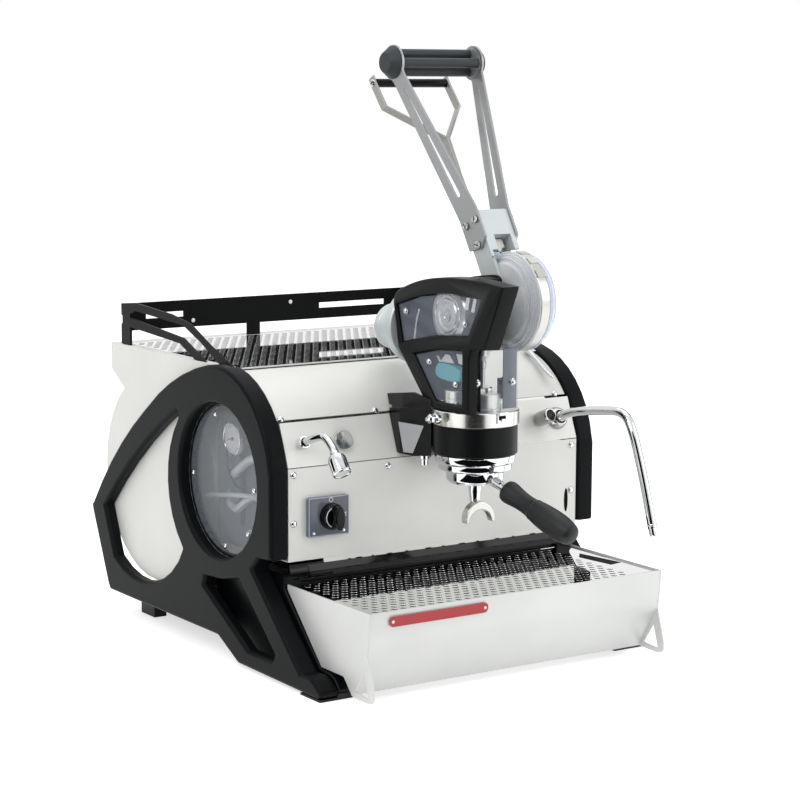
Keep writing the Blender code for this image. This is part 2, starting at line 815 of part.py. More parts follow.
def rail_back():
    place = sized(rail_shares)[0][0]
    half = rail_half - rail_sheet / 2
    deck = sized(side_panel_shares)[0][1]
    outline = [(-half, rail_back_high), (half, rail_back_high), (half, rail_back_low),
               (-half, rail_back_low)]
    middle = (rail_back_low + rail_back_high) / 2
    holes = []
    for left, right in (rail_slot_left, rail_slot_right):
        holes.append([(left, middle - rail_slot_high / 2), (right, middle - rail_slot_high / 2),
                      (right, middle + rail_slot_high / 2), (left, middle + rail_slot_high / 2)])
    rail = plate("cup_rail", [outline] + holes, "Y", place - rail_sheet - gap, place - gap, black_paint)
    post = box("rail_post", (rail_post_left, place - rail_sheet - gap, deck + gap),
               (rail_post_right, place - gap * 2, rail_back_low + rail_slot_high / 2))
    join(rail, post)
    return rail


def tray_end(name, side):
    across = span(side, tray_half - tray_sheet, tray_half)
    return plate(name, [sized(tray_end_shares), sized(tray_notch_shares)], "X", *across)


def tray_front():
    run = sized(tray_front_shares)
    half = tray_half - tray_sheet / 2
    return plate("drip_tray", [strip(run, tray_sheet)], "X", -half, half, steel)


def pan():
    """The open drip pan, with a lip that rests on the tray's ends."""
    walls = box("drip_pan", (-pan_half, pan_front, pan_low), (pan_half, pan_back, pan_lip_high), steel)
    lip_half = tray_half - tray_sheet - gap
    join(walls, box("pan_lip", (-lip_half, pan_lip_front, pan_lip_high - pan_wall * 2),
                    (lip_half, pan_back + pan_wall / 2, pan_lip_high)))
    cut(walls, box("pan_hollow", (pan_wall - pan_half, pan_front + pan_wall, pan_low + pan_wall),
                   (pan_half - pan_wall, pan_back - pan_wall, pan_lip_high + overrun)))
    return walls


def grill():
    """The drip grill: a flat plate with staggered rows of slots."""
    half = tray_half - tray_sheet - gap
    low = pan_lip_high + gap
    front = sized(tray_front_shares)[0][0] + tray_sheet + gap
    outline = [(-half, front), (half, front), (half, pan_back), (-half, pan_back)]
    wide = (half * 2 - grill_rim * 2 + grill_bar) / grill_columns - grill_bar
    deep = (pan_back - front - grill_rim * 2 + grill_bar) / grill_rows - grill_bar
    holes = []
    for row in range(grill_rows):
        back = front + grill_rim + row * (deep + grill_bar)
        stagger = (wide + grill_bar) / 2 * (row % 2)
        for column in range(grill_columns - row % 2):
            left = -half + grill_rim + stagger + column * (wide + grill_bar)
            holes.append([(left, back), (left + wide, back), (left + wide, back + deep),
                          (left, back + deep)])
    return plate("drip_grill", [outline] + holes, "Z", low, low + grill_thick, steel, parent=machine)


def badge():
    middle = (badge_low + badge_high) / 2
    outline = [(badge_left, badge_low), (badge_right, badge_low),
               (badge_right, middle - badge_notch / 2),
               (badge_right - badge_notch / 2, middle), (badge_right, middle + badge_notch / 2),
               (badge_right, badge_high), (badge_left, badge_high), (badge_left,
                                                                     middle + badge_notch / 2),
               (badge_left + badge_notch / 2, middle), (badge_left, middle - badge_notch / 2)]
    face = sized(tray_front_shares)[0][0]
    return plate("badge_plate", [outline], "Y", face - badge_thick - gap, face - gap, red_plate)


def panel_face(x, z):
    """The point and the outward direction on the leaning middle panel at a height."""
    low, high = sized(middle_panel_shares)
    share = (z - low[1]) / (high[1] - low[1])
    run = Vector((high[0] - low[0], high[1] - low[1])).normalized()
    return Vector((x, low[0] + (high[0] - low[0]) * share, z)), Vector((0.0, -run.y, run.x))


def socket(radius, deep, ball, front):
    """The side view of a round base that holds a ball whose middle is at the front height."""
    hold = ball + gap
    cup = [(hold * math.sin(turn), front - hold * math.cos(turn))
           for turn in (math.radians(step * socket_turn / socket_steps) for step in range(socket_steps + 1))]
    return cup + [(cup[-1][0] + gap, cup[-1][1]), (radius, deep / 3), (radius, 0.0), (0.0, 0.0)]


def ball_shape(radius):
    turns = [math.pi * step / ball_steps for step in range(1, ball_steps)]
    return [(0.0, radius)] + [(radius * math.sin(turn),
                               radius * math.cos(turn)) for turn in turns] + [(0.0, -radius)]


def front_controls():
    face = sized(lower_panel_shares)[1][0] - gap
    box("switch_plate", (switch_left, face - switch_proud, switch_low),
        (switch_right, face, switch_high),
        black_plastic, edge=switch_edge, segments=2)
    joint = empty("switch_axis", (knob_x, face - switch_proud - gap, knob_z))
    knob = rod("switch_knob", (0, 0, 0), (0, -1, 0), knob_radius, knob_deep, 24, black_plastic, joint,
               edge=gap * 4)
    join(knob, box("knob_grip", (-knob_grip_wide / 2, -knob_deep - knob_grip_deep, -knob_radius),
                   (knob_grip_wide / 2, -knob_deep / 2, knob_radius), parent=joint))

    place, out = panel_face(button_x, button_z)
    joint = empty("button_axis", place)
    profile = [(0.0, button_proud - button_rim), (button_radius - button_rim, button_proud),
               (button_radius, button_proud),
               (button_radius, button_under), (button_stem, button_under), (button_stem, -button_root),
               (0.0, -button_root)]
    turned("flush_button", profile, (0, 0, 0), out, 28, chrome, joint)

    place, out = panel_face(spout_x, spout_z)
    collar = socket(spout_collar_radius, spout_collar_deep, spout_ball, spout_collar_deep + gap)
    turned("spout_collar", collar, place + out * gap, out, 24, chrome)
    tip = place + out * (spout_collar_deep + gap * 2)
    joint = empty("spout_axis", tip)
    tilt = math.radians(nozzle_tilt)
    lift = Vector((0.0, math.sin(tilt), math.cos(tilt)))
    top = Vector((0.0, -spout_reach + (place.y - tip.y), nozzle_top - tip.z))
    route = [(0.0, 0.0, 0.0), tuple(out * spout_pipe * 2), (0.0, top.y * 0.62, spout_rise),
             tuple(top + lift * spout_pipe * 2), tuple(top - lift * gap * 4)]
    pipe = tube("water_spout", route, spout_pipe, chrome, joint, smooth_steps=3)
    nozzle = [(0.0, nozzle_long), (nozzle_radius / 2, nozzle_long), (nozzle_radius, nozzle_long * 0.8),
              (nozzle_radius, 0.0), (nozzle_radius - spout_collar_deep / 6, 0.0),
              (nozzle_radius - spout_collar_deep / 6, nozzle_long / 2), (0.0, nozzle_long / 2)]
    cut_low = turned("spout_nozzle", nozzle, top - lift * nozzle_long, lift, 24, None, joint)
    join(pipe, cut_low, turned("spout_ball", ball_shape(spout_ball), (0, 0, 0), out, 20, None, joint))


def steam_side():
    place, out = panel_face(steam_x, steam_z)
    flange = socket(steam_flange_radius, steam_flange_deep, wand_ball, steam_flange_deep + gap)
    turned("steam_flange", flange, place + out * gap, out, 28, chrome)
    start = place + out * (steam_flange_deep + gap * 2)
    joint = empty("wand_axis", start)
    offset = place.y - start.y
    rise = wand_rise_z - start.z
    tip = wand_tip_z + wand_tip_long - start.z
    line = [(wand_reach * 0.45, rise * 0.55), (wand_reach, rise * 0.95),
            ((wand_reach + wand_bend_reach) * 0.53, rise),
            (wand_bend_reach, rise * 0.3), ((wand_bend_reach + wand_drop_reach) * 0.52,
                                            (rise + tip) * 0.5),
            (wand_drop_reach, tip)]
    route = [(0.0, 0.0, 0.0), tuple(out * wand_radius), tuple(out * wand_radius * 2)]
    route += [(wand_drift * reach / wand_drop_reach, offset - reach, high) for reach, high in line]
    wand = tube("steam_wand", route, wand_radius, chrome, joint, smooth_steps=3)
    down = (Vector(route[-1]) - Vector(route[-2])).normalized()
    end = [(0.0, wand_tip_long), (wand_tip_radius / 2, wand_tip_long),
           (wand_tip_radius, wand_tip_long * 0.7),
           (wand_tip_radius, 0.0), (0.0, 0.0)]
    join(wand, turned("wand_tip", end, Vector(route[-1]) - down * gap, down, 16, None, joint),
         turned("wand_ball", ball_shape(wand_ball), (0, 0, 0), out, 24, None, joint))

    place, out = panel_face(steam_knob_x, steam_z)
    joint = empty("steam_knob_axis", place + out * gap)
    knob = [(0.0, steam_knob_deep / 2), (steam_knob_bore, steam_knob_deep / 2),
            (steam_knob_bore, steam_knob_deep),
            (steam_knob_radius, steam_knob_deep), (steam_knob_radius, steam_knob_deep * 0.3),
            (steam_knob_bore, steam_knob_deep * 0.2), (steam_knob_bore, 0.0), (0.0, 0.0)]
    turned("steam_knob", knob, (0, 0, 0), out, 24, chrome, joint)


def over_panel(angle, lift):
    """A point over the upper panel's curve, by its angle and its height off the sheet."""
    (back, up), (radius, _) = sized(upper_arc_shares)
    turn = math.radians(angle)
    return back + (radius + lift) * math.cos(turn), up + (radius + lift) * math.sin(turn)


def small_lever():
    right = small_lever_x + small_lever_wide
    high = lever_bracket_high
    outline = [over_panel(angle, high * share) for angle, share in zip(small_lever_angles,
                                                                       small_lever_high_shares)]
    inner = [over_panel(angle, high * share) for angle, share in zip(small_lever_angles,
                                                                     small_lever_low_shares)]
    joint = empty("small_lever_axis", ((small_lever_x + right) / 2, *over_panel(lever_bracket_angles[1],
                                                                                high * 0.8)))
    stay(plate("steam_lever", [outline + inner[::-1]], "X", small_lever_x, right, chrome), joint)
    first, last = lever_bracket_angles
    block = [over_panel(first, gap), over_panel(last, gap), over_panel(last, high),
             over_panel(first, high)]
    plate("lever_bracket", [block], "X", right + gap, right + gap + lever_bracket_wide, steel)


def group():
    centre = (0.0, group_y, 0.0)
    up = (0, 0, 1)
    turned("group_ring", [(0.0, ring_high), (ring_radius, ring_high), (ring_radius, ring_low),
                          (0.0, ring_low)],
           centre, up, 40, steel)
    band_high = ring_low - gap
    turned("group_band", [(0.0, band_high), (band_radius, band_high), (band_radius, band_low),
                          (0.0, band_low)],
           centre, up, 40, black_paint)
    top = band_low - gap
    soften = (top - bell_low) / 3
    turned("group_bell", [(0.0, top), (bell_radius, top), (bell_radius, bell_low + soften),
                          (bell_radius - soften, bell_low), (step_radius, bell_low), (step_radius,
                                                                                      step_low + soften),
                          (step_radius - soften, step_low), (0.0, step_low)], centre, up, 40, chrome)


def group_neck():
    """The casting that carries the group off the front, narrow at the group and wide at the body."""
    item = plate("group_neck", [sized(neck_side_shares)], "X", -neck_half - overrun,
                 neck_half + overrun, black_paint)
    back = sized(neck_side_shares)[3][0] + overrun
    plan = [(-neck_half, back), (-neck_half, neck_root_y), (-neck_waist, neck_waist_y),
            (-neck_tip, neck_tip_y),
            (neck_tip, neck_tip_y), (neck_waist, neck_waist_y), (neck_half, neck_root_y), (neck_half,
                                                                                           back)]
    combine(item, plate("neck_plan", [plan], "Z", band_low - ring_low / 4, ring_high + ring_low / 4),
            "INTERSECT")
    wings = plate("neck_wings", [sized(wing_shares)], "X", -wing_half, wing_half)
    cut(wings, box("wing_gap", (wing_cut_left, group_y - ring_radius, ring_low),
                   (wing_cut_right, group_y + side_size / 4, ring_high + side_size / 8)))
    plan = [(-wing_half, back * 1.2), (-wing_half, neck_root_y), (-neck_waist, neck_tip_y),
            (neck_waist, neck_tip_y),
            (wing_half, neck_root_y), (wing_half, back * 1.2)]
    combine(wings, plate("wing_plan", [plan], "Z", ring_low, ring_high + side_size / 8), "INTERSECT")
    join(item, wings)
    cut(item, rod("neck_seat", (0.0, group_y, 0.0), (0, 0, 1), ring_radius + gap, ring_high + band_low,
                  64))


def portafilter():
    joint = empty("portafilter_axis", (0.0, group_y, 0.0))
    turned_empty = empty("handle_aim", (0, 0, 0), joint, (0.0, 0.0, handle_turn))
    top = step_low - gap
    cup = [(0.0, basket_floor), (basket_radius, basket_floor), (basket_radius, top), (cup_radius, top),
           (cup_radius, cup_low + cup_edge), (cup_radius - cup_edge, cup_low), (0.0, cup_low)]
    body = turned("portafilter", cup, (0, 0, 0), (0, 0, 1), 40, chrome, turned_empty)
    middle = (arch_low + arch_high) / 2
    line = [(-1.0, arch_low), (-0.97, middle), (-0.6, arch_high - arch_tube), (0.0, arch_high),
            (0.6, arch_high - arch_tube), (0.97, middle), (1.0, arch_low)]
    route = [(arch_half * share, -arch_front, high) for share, high in line]
    arch = tube("twin_spout", route, arch_tube, None, turned_empty, smooth_steps=2)
    stem_long = cup_low + cup_edge - arch_high + arch_tube / 2
    join(body, rod("spout_stem", (0.0, 0.0, arch_high - arch_tube / 2), (0, 0, 1), stem_radius,
                   stem_long, 24, None,
                   turned_empty), arch)
    drop = math.radians(handle_drop)
    aim = Vector((0.0, -math.cos(drop), -math.sin(drop)))
    start = Vector((0.0, -neck_start, handle_z))
    neck_long = (grip_start - neck_start) / math.cos(drop)
    root = aim * (cup_radius - basket_radius) / 2
    join(body, rod("handle_neck", start - root, aim, handle_neck, neck_long + root.length, 20, None,
                   turned_empty))
    grip_from = start + aim * (neck_long + gap)
    slim, mid, big = grip_collar_radius, grip_waist_radius, grip_radius
    shape = [(0.0, 1.0), (slim * 0.49, 0.995), (slim * 0.88, 0.97), (slim, 0.93), (big, 0.8),
             (big, 0.68),
             (mid * 1.15, 0.44), (mid * 1.15, 0.41), (mid, 0.38), (mid, 0.24), (slim, 0.12), (slim,
                                                                                              0.02),
             (slim * 0.8, 0.0), (0.0, 0.0)]
    profile = [(radius, share * grip_long) for radius, share in shape]
    turned("portafilter_grip", profile, grip_from, aim, 24, black_plastic, turned_empty)


def head():
    bore = rod("axle_bore", (cover_left_out - overrun, axle_y, axle_z), (1, 0, 0), axle_radius + gap,
               cover_right_out - cover_left_out + overrun * 2, 24)
    upper = sized(upper_window_shares, head_size)
    lower = sized(lower_window_shares, head_size)
    outline = sized(cover_shares, head_size)
    shell = plate("head_cover_left", [outline, upper, lower], "X", cover_left_out, cover_left_in,
                  black_plastic,
                  edge=cover_edge, segments=2)
    cut(shell, box("cover_notch", (cover_left_in - hose_radius * 2, group_y - ring_radius - overrun,
                                   ring_high - overrun),
                   (cover_left_in + overrun, group_y - glass_radius / 2, glass_high + gap * 4)))
    cut(shell, plate("cover_hollow", [outline], "X", cover_left_out + cover_face,
                     cover_left_in + overrun,
                     shrink=cover_wall))
    cover = plate("head_cover_right", [sized(cover_right_shares, head_size)], "X", cover_right_in,
                  cover_right_out, black_plastic)
    cut(cover, bore)
    core = plate("head_core", [sized(core_shares, head_size)], "X", cover_left_in + gap,
                 cover_right_in - gap,
                 aluminium)
    cut(core, bore)
    cut(core, rod("rod_bore", (0.0, group_y, ring_high), (0, 0, 1), rod_radius + gap,
                  rod_bore_high - ring_high, 20))
    for name, window in (("head_pane_upper", upper), ("head_pane_lower", lower)):
        middle = (sum(back for back, _ in window) / len(window),
                  sum(high for _, high in window) / len(window))
        shrink = 1 - gap * 4 / head_size * 10
        run = [(middle[0] + (back - middle[0]) * shrink, middle[1] + (high - middle[1]) * shrink)
               for back, high in window]
        plate(name, [run], "X", cover_left_out + pane_set, cover_left_out + pane_set + pane_sheet, clear)
    half = math.radians(glass_angle)
    turns = [-math.pi / 2 - half + half * 2 * step / 12 for step in range(13)]
    outer = [(glass_radius * math.cos(turn), group_y + glass_radius * math.sin(turn)) for turn in turns]
    inside = glass_radius - glass_sheet
    inner = [(inside * math.cos(turn), group_y + inside * math.sin(turn)) for turn in reversed(turns)]
    plate("front_glass", [outer + inner], "Z", ring_high + gap, glass_high, clear)
    barrel = [(0.0, barrel_end), (barrel_radius * 0.8, barrel_end),
              (barrel_radius, barrel_end - overrun),
              (barrel_radius, barrel_cone), (barrel_collar, barrel_step), (barrel_collar, barrel_face),
              (barrel_stub, barrel_face), (barrel_stub, barrel_start), (0.0, barrel_start)]
    run = [(radius, along - barrel_start) for radius, along in barrel]
    turned("head_barrel", run, (0.0, barrel_start, barrel_z), (0, 1, 0), 40, light_grey)
    joint = empty("piston_axis", (0.0, group_y, 0.0))
    profile = [(0.0, rod_high), (rod_radius, rod_high), (rod_radius, piston_high),
               (piston_radius, piston_high),
               (piston_radius, piston_low), (0.0, piston_low)]
    turned("piston", profile, (0, 0, 0), (0, 0, 1), 32, steel, joint)


def lever_frame():
    return empty("lever_axis", (0.0, axle_y, axle_z), machine, (-lean, 0.0, 0.0))


def drum(joint):
    axle = turned("lever_axle", [(0.0, drum_right - axle_left), (axle_radius, drum_right - axle_left),
                                 (axle_radius, hub_right - axle_left), (hub_radius,
                                                                        hub_right - axle_left),
                                 (hub_radius, 0.0), (0.0, 0.0)], (axle_left, 0, 0), (1, 0,
                                                                                     0), 28, None, joint)
    outline = []
    for tooth in range(wheel_teeth):
        for share, radius in ((0.0, wheel_radius), (0.5, wheel_radius),
                              (0.58, wheel_radius - tooth_deep),
                              (0.92, wheel_radius - tooth_deep)):
            turn = math.tau * (tooth + share) / wheel_teeth
            outline.append((radius * math.cos(turn), radius * math.sin(turn)))
    join(plate("notched_wheel", [outline], "X", wheel_left, wheel_right, steel, joint), axle)
    for name, low, high, way in (("drum_cover_left", drum_left, wheel_left - gap, 1),
                                 ("drum_cover_right", wheel_right + gap, drum_right, -1)):
        long = high - low
        inner, outer = axle_radius + gap, drum_radius
        rim = [(outer - drum_wall, long), (outer, long), (outer, drum_step), (drum_step_radius, 0.0),
               (inner, 0.0),
               (inner, drum_wall), (drum_step_radius - drum_wall, drum_wall), (outer - drum_wall,
                                                                               drum_step + drum_wall)]
        place = low if way > 0 else high
        turned(name, rim, (place, 0, 0), (way, 0, 0), 32, clear, joint)


def yoke(joint):
    """The fork over the drum, with its cheek down to the axle and the pawl's window."""
    item = box("lever_yoke", (yoke_left, -yoke_half, yoke_low), (yoke_right, yoke_half, yoke_high),
               light_grey, joint)
    cheek = box("yoke_cheek", (yoke_left, -yoke_half, -yoke_half / 2),
                (yoke_left + yoke_cheek, yoke_half, yoke_low + overrun),
                parent=joint)
    join(item, cheek)
    cut(item, rod("yoke_bore", (yoke_left - overrun, 0, 0), (1, 0, 0), axle_radius + gap, yoke_high / 2,
                  24, None, joint))
    seat = rod("yoke_seat", (yoke_left + yoke_cheek, 0, 0), (1, 0, 0), wheel_radius + gap * 2,
               yoke_high / 2, 64, None, joint)
    cut(item, seat)
    middle = (wheel_left + wheel_right) / 2
    window = box("yoke_window", (middle - yoke_window_half, -yoke_half - overrun, yoke_window_low),
                 (middle + yoke_window_half, yoke_half + overrun, yoke_window_high), parent=joint)
    cut(item, window)
    for side in (-1, 1):
        ears = sorted(lever_x + side * reach for reach in (bail_strap_thick + gap * 2,
                                                           bail_strap_thick + bail_ear_thick))
        join(item, box("bail_ear", (ears[0], yoke_half - overrun, yoke_high - bail_ear_low),
                       (ears[1], bail_stem_low_back + bail_strap_wide / 2,
                        bail_stem_low + bail_ear_high), parent=joint))
    return item


def arm(name, side, joint):
    """A bent flat arm: the sheet that follows its bend, held to its tapered and slotted outline."""
    root = lever_x + side * arm_root
    top = lever_x + side * arm_top
    run = [(root, arm_low - arm_wide), (root, arm_bend), (top, arm_high - disc_radius * 0.8),
           (top, arm_high + disc_radius * 2)]
    if side < 0:
        run = run[::-1]
    bent = plate(name, [strip(run, arm_thick)], "Y", -arm_wide, arm_wide, aluminium, joint)
    wide, slim = arm_wide / 2, arm_neck / 2
    cheek = [(wide, arm_bend), (wide, arm_low - wide * 0.1), (-wide * 0.25, arm_low - wide * 0.5),
             (-wide, arm_low)]
    shoulder = [(-wide, arm_bend), (-slim, arm_high - disc_radius)]
    rise = [(slim, arm_high - disc_radius)]
    outline = cheek + shoulder
    head_turns = [math.pi * 1.3 - math.pi * 1.6 * step / 20 for step in range(21)]
    outline += [(disc_radius * math.cos(turn),
                 arm_high + disc_radius * math.sin(turn)) for turn in head_turns]
    outline += rise
    low, high = arm_slot_wide / 2, arm_slot_tip / 2
    slot = [(-low, arm_slot_low), (-high, arm_slot_high), (0.0, arm_slot_high + high * 2),
            (high, arm_slot_high),
            (low, arm_slot_low), (low * 0.6, arm_slot_low - low * 0.8), (-low * 0.6,
                                                                         arm_slot_low - low * 0.8)]
    across = sorted((root - side * overrun * 2, top + side * overrun * 2))
    holes = [ring_points(centre, bar_radius + gap, 16) for centre in bar_centres()]
    combine(bent, plate(name + "_outline", [outline, slot] + holes, "X", *across, None, joint),
            "INTERSECT")
    return bent


def bar_centres():
    turns = [math.radians(-100 + 120 * index) for index in range(3)]
    return [(bar_ring * math.cos(turn), arm_high + bar_ring * math.sin(turn)) for turn in turns]


def grip(joint):
    """Three bars through the arms' discs, held by a cone on each end."""
    caps = []
    for name, side in (("lever_grip", -1), ("cap_right", 1)):
        long = cap_long if side < 0 else cap_right_long
        profile = [(0.0, long), (cap_end_radius, long), (cap_radius, gap * 10), (cap_radius, 0.0),
                   (0.0, 0.0)]
        place = (lever_x + side * (arm_top + gap), 0.0, arm_high)
        caps.append(turned(name, profile, place, (side, 0, 0), 28, None if caps else black_plastic,
                           joint))
    left = lever_x - arm_top - cap_right_long / 2
    for centre in bar_centres():
        caps.append(rod("bar", (left, *centre), (1, 0, 0), bar_radius, (lever_x - left) * 2, 16, None,
                        joint))
    join(*caps)


def bail(joint):
    """The release bail: a stem strap that forks to a small grip behind the lever's own."""
    pivot = empty("bail_axis", (lever_x, bail_stem_low_back, bail_stem_low), joint)
    ahead = lambda up, back: (back - bail_stem_low_back, up - bail_stem_low)
    side_run = [ahead(bail_stem_low, bail_stem_low_back), ahead(bail_stem_mid, bail_stem_mid_back),
                ahead(bail_fork, bail_fork_back), ahead(bail_knee, bail_knee_back),
                ahead(bail_grip_up, bail_grip_back)]
    straps = []
    for name, side in (("bail_straps", -1), ("strap_right", 1)):
        inner, outer = -side * gap, side * bail_half
        run = [(inner, side_run[0][1]), (inner, side_run[2][1]), (outer, side_run[3][1]),
               (outer, side_run[4][1] + bail_grip_radius * 2)]
        way = run[::-1] if side > 0 else run
        strap = plate(name, [strip(way, bail_strap_thick)], "Y", -bail_knee,
                      bail_grip_back + bail_strap_wide,
                      None if straps else aluminium, pivot)
        half = bail_strap_wide / 2
        low = [(back + half, up) for back, up in side_run]
        high = [(back - half, up) for back, up in reversed(side_run)]
        end = side_run[-1][1] + bail_grip_radius * 1.5
        outline = low + [(side_run[-1][0] + half, end), (side_run[-1][0] - half, end)] + high
        across = sorted((0.0, side * (bail_half + overrun)))
        across = (across[0] - overrun, across[1] + overrun)
        combine(strap, plate(name + "_outline", [outline], "X", *across, None, pivot), "INTERSECT")
        straps.append(strap)
    join(*straps)
    long = bail_half * 2 - gap * 2
    rod("bail_grip", (-long / 2, side_run[-1][0], side_run[-1][1]), (1, 0, 0), bail_grip_radius, long,
        16,
        black_plastic, pivot)


def build():
    for name, side in (("side_frame_left", -1), ("side_frame_right", 1)):
        frame(name, side)
    for name, side in (("inner_leg_left", -1), ("inner_leg_right", 1)):
        inner_leg(name, side)
    for name, side in (("toe_pad_left", -1), ("toe_pad_right", 1)):
        pad(name, side, rubber)
    for name, side in (("side_panel_left", -1), ("side_panel_right", 1)):
        side_panel(name, side)
    for name, side in (("side_pane_left", -1), ("side_pane_right", 1)):
        pane(name, side)
    reach = half_width - flank_thick - gap
    panel("front_panel_lower", sized(lower_panel_shares)[::-1], reach)
    middle = panel("front_panel_middle", sized(middle_panel_shares)[::-1], reach)
    place, out = panel_face(button_x, button_z)
    cut(middle, rod("button_hole", place - out * button_radius, out, button_stem + gap,
                    button_radius * 2, 20))
    panel("front_panel_upper", arc(upper_arc_shares, angles_upper, 12)[::-1], reach)
    wrap()
    chassis()
    inner_wall("inner_wall_left", -1)
    gauge()
    hose("water_hose", hose_shares, aluminium, hose_radius, hose_stand)
    hose("copper_pipe", pipe_shares, copper, hose_radius * 0.7, hose_stand)
    boiler()
    join(rail_back(), rail_side("rail_left", -1), rail_side("rail_right", 1))
    join(tray_front(), tray_end("tray_end_left", -1), tray_end("tray_end_right", 1))
    pan()
    grill()
    badge()
    plate("gutter", [strip(sized(gutter_shares), sheet)], "X", -gutter_half, gutter_half, black_paint)
    front_controls()
    steam_side()
    small_lever()
    group()
    group_neck()
    portafilter()
    head()
    joint = lever_frame()
    drum(joint)
    yoke(joint)
    for name, side in (("lever_arm_left", -1), ("lever_arm_right", 1)):
        arm(name, side, joint)
    grip(joint)
    bail(joint)


build()
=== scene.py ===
import json
import math

import bmesh
import bpy
from mathutils import Matrix, Vector


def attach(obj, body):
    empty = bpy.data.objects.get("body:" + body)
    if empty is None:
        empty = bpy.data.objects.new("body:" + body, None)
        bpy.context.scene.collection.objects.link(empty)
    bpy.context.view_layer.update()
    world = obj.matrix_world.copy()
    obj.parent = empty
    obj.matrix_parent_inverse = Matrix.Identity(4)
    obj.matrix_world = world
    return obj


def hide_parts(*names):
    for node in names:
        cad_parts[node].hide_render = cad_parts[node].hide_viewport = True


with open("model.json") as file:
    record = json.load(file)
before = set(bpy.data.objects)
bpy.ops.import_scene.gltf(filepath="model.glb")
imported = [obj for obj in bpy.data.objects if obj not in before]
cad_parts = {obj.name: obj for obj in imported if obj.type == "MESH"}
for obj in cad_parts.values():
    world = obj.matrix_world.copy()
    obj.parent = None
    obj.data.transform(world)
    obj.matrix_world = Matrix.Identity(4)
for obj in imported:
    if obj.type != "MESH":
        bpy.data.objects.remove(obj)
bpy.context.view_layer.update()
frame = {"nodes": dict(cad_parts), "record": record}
record = frame["record"]
bodyOf = {node: body for body, nodes in record["behaviour"]["bodies"].items() for node in nodes}
mm = 0.001
centreY = 311.025  # the machine's own middle, in mm from the tray's front edge
leftward, rightward, forward, backward, upward = (-1, 0, 0), (1, 0, 0), (0, -1, 0), (0, 1, 0), (0, 0, 1)
print("frame loaded")


# A place in the machine's own mm, in metres from its middle
def place(x, y, z):
    return Vector((x, y - centreY, z)) * mm


# Camera, at the photograph's own angle
view = {"lens": 100.9, "sensor": 36, "reach": 30, "place": (-1.6415, -2.4925, 0.7565),
        "yaw": 33.75, "pitch": 8.27, "roll": 0.25}


def aimCamera():
    yaw, pitch, roll = (math.radians(view[key]) for key in ("yaw", "pitch", "roll"))
    ahead = Vector((math.sin(yaw) * math.cos(pitch), math.cos(yaw) * math.cos(pitch), -math.sin(pitch)))
    right = Vector((math.cos(yaw), -math.sin(yaw), 0))
    up = right.cross(ahead)
    rightTurned = right * math.cos(roll) + up * math.sin(roll)
    upTurned = up * math.cos(roll) - right * math.sin(roll)
    camera = bpy.data.objects.new("camera", bpy.data.cameras.new("camera"))
    camera.data.lens = view["lens"]
    camera.data.sensor_width = view["sensor"]
    camera.data.clip_end = view["reach"]
    turn = Matrix((rightTurned, upTurned, -ahead)).transposed().to_4x4()
    camera.matrix_world = Matrix.Translation(view["place"]) @ turn
    bpy.context.scene.collection.objects.link(camera)
    bpy.context.scene.camera = camera


aimCamera()

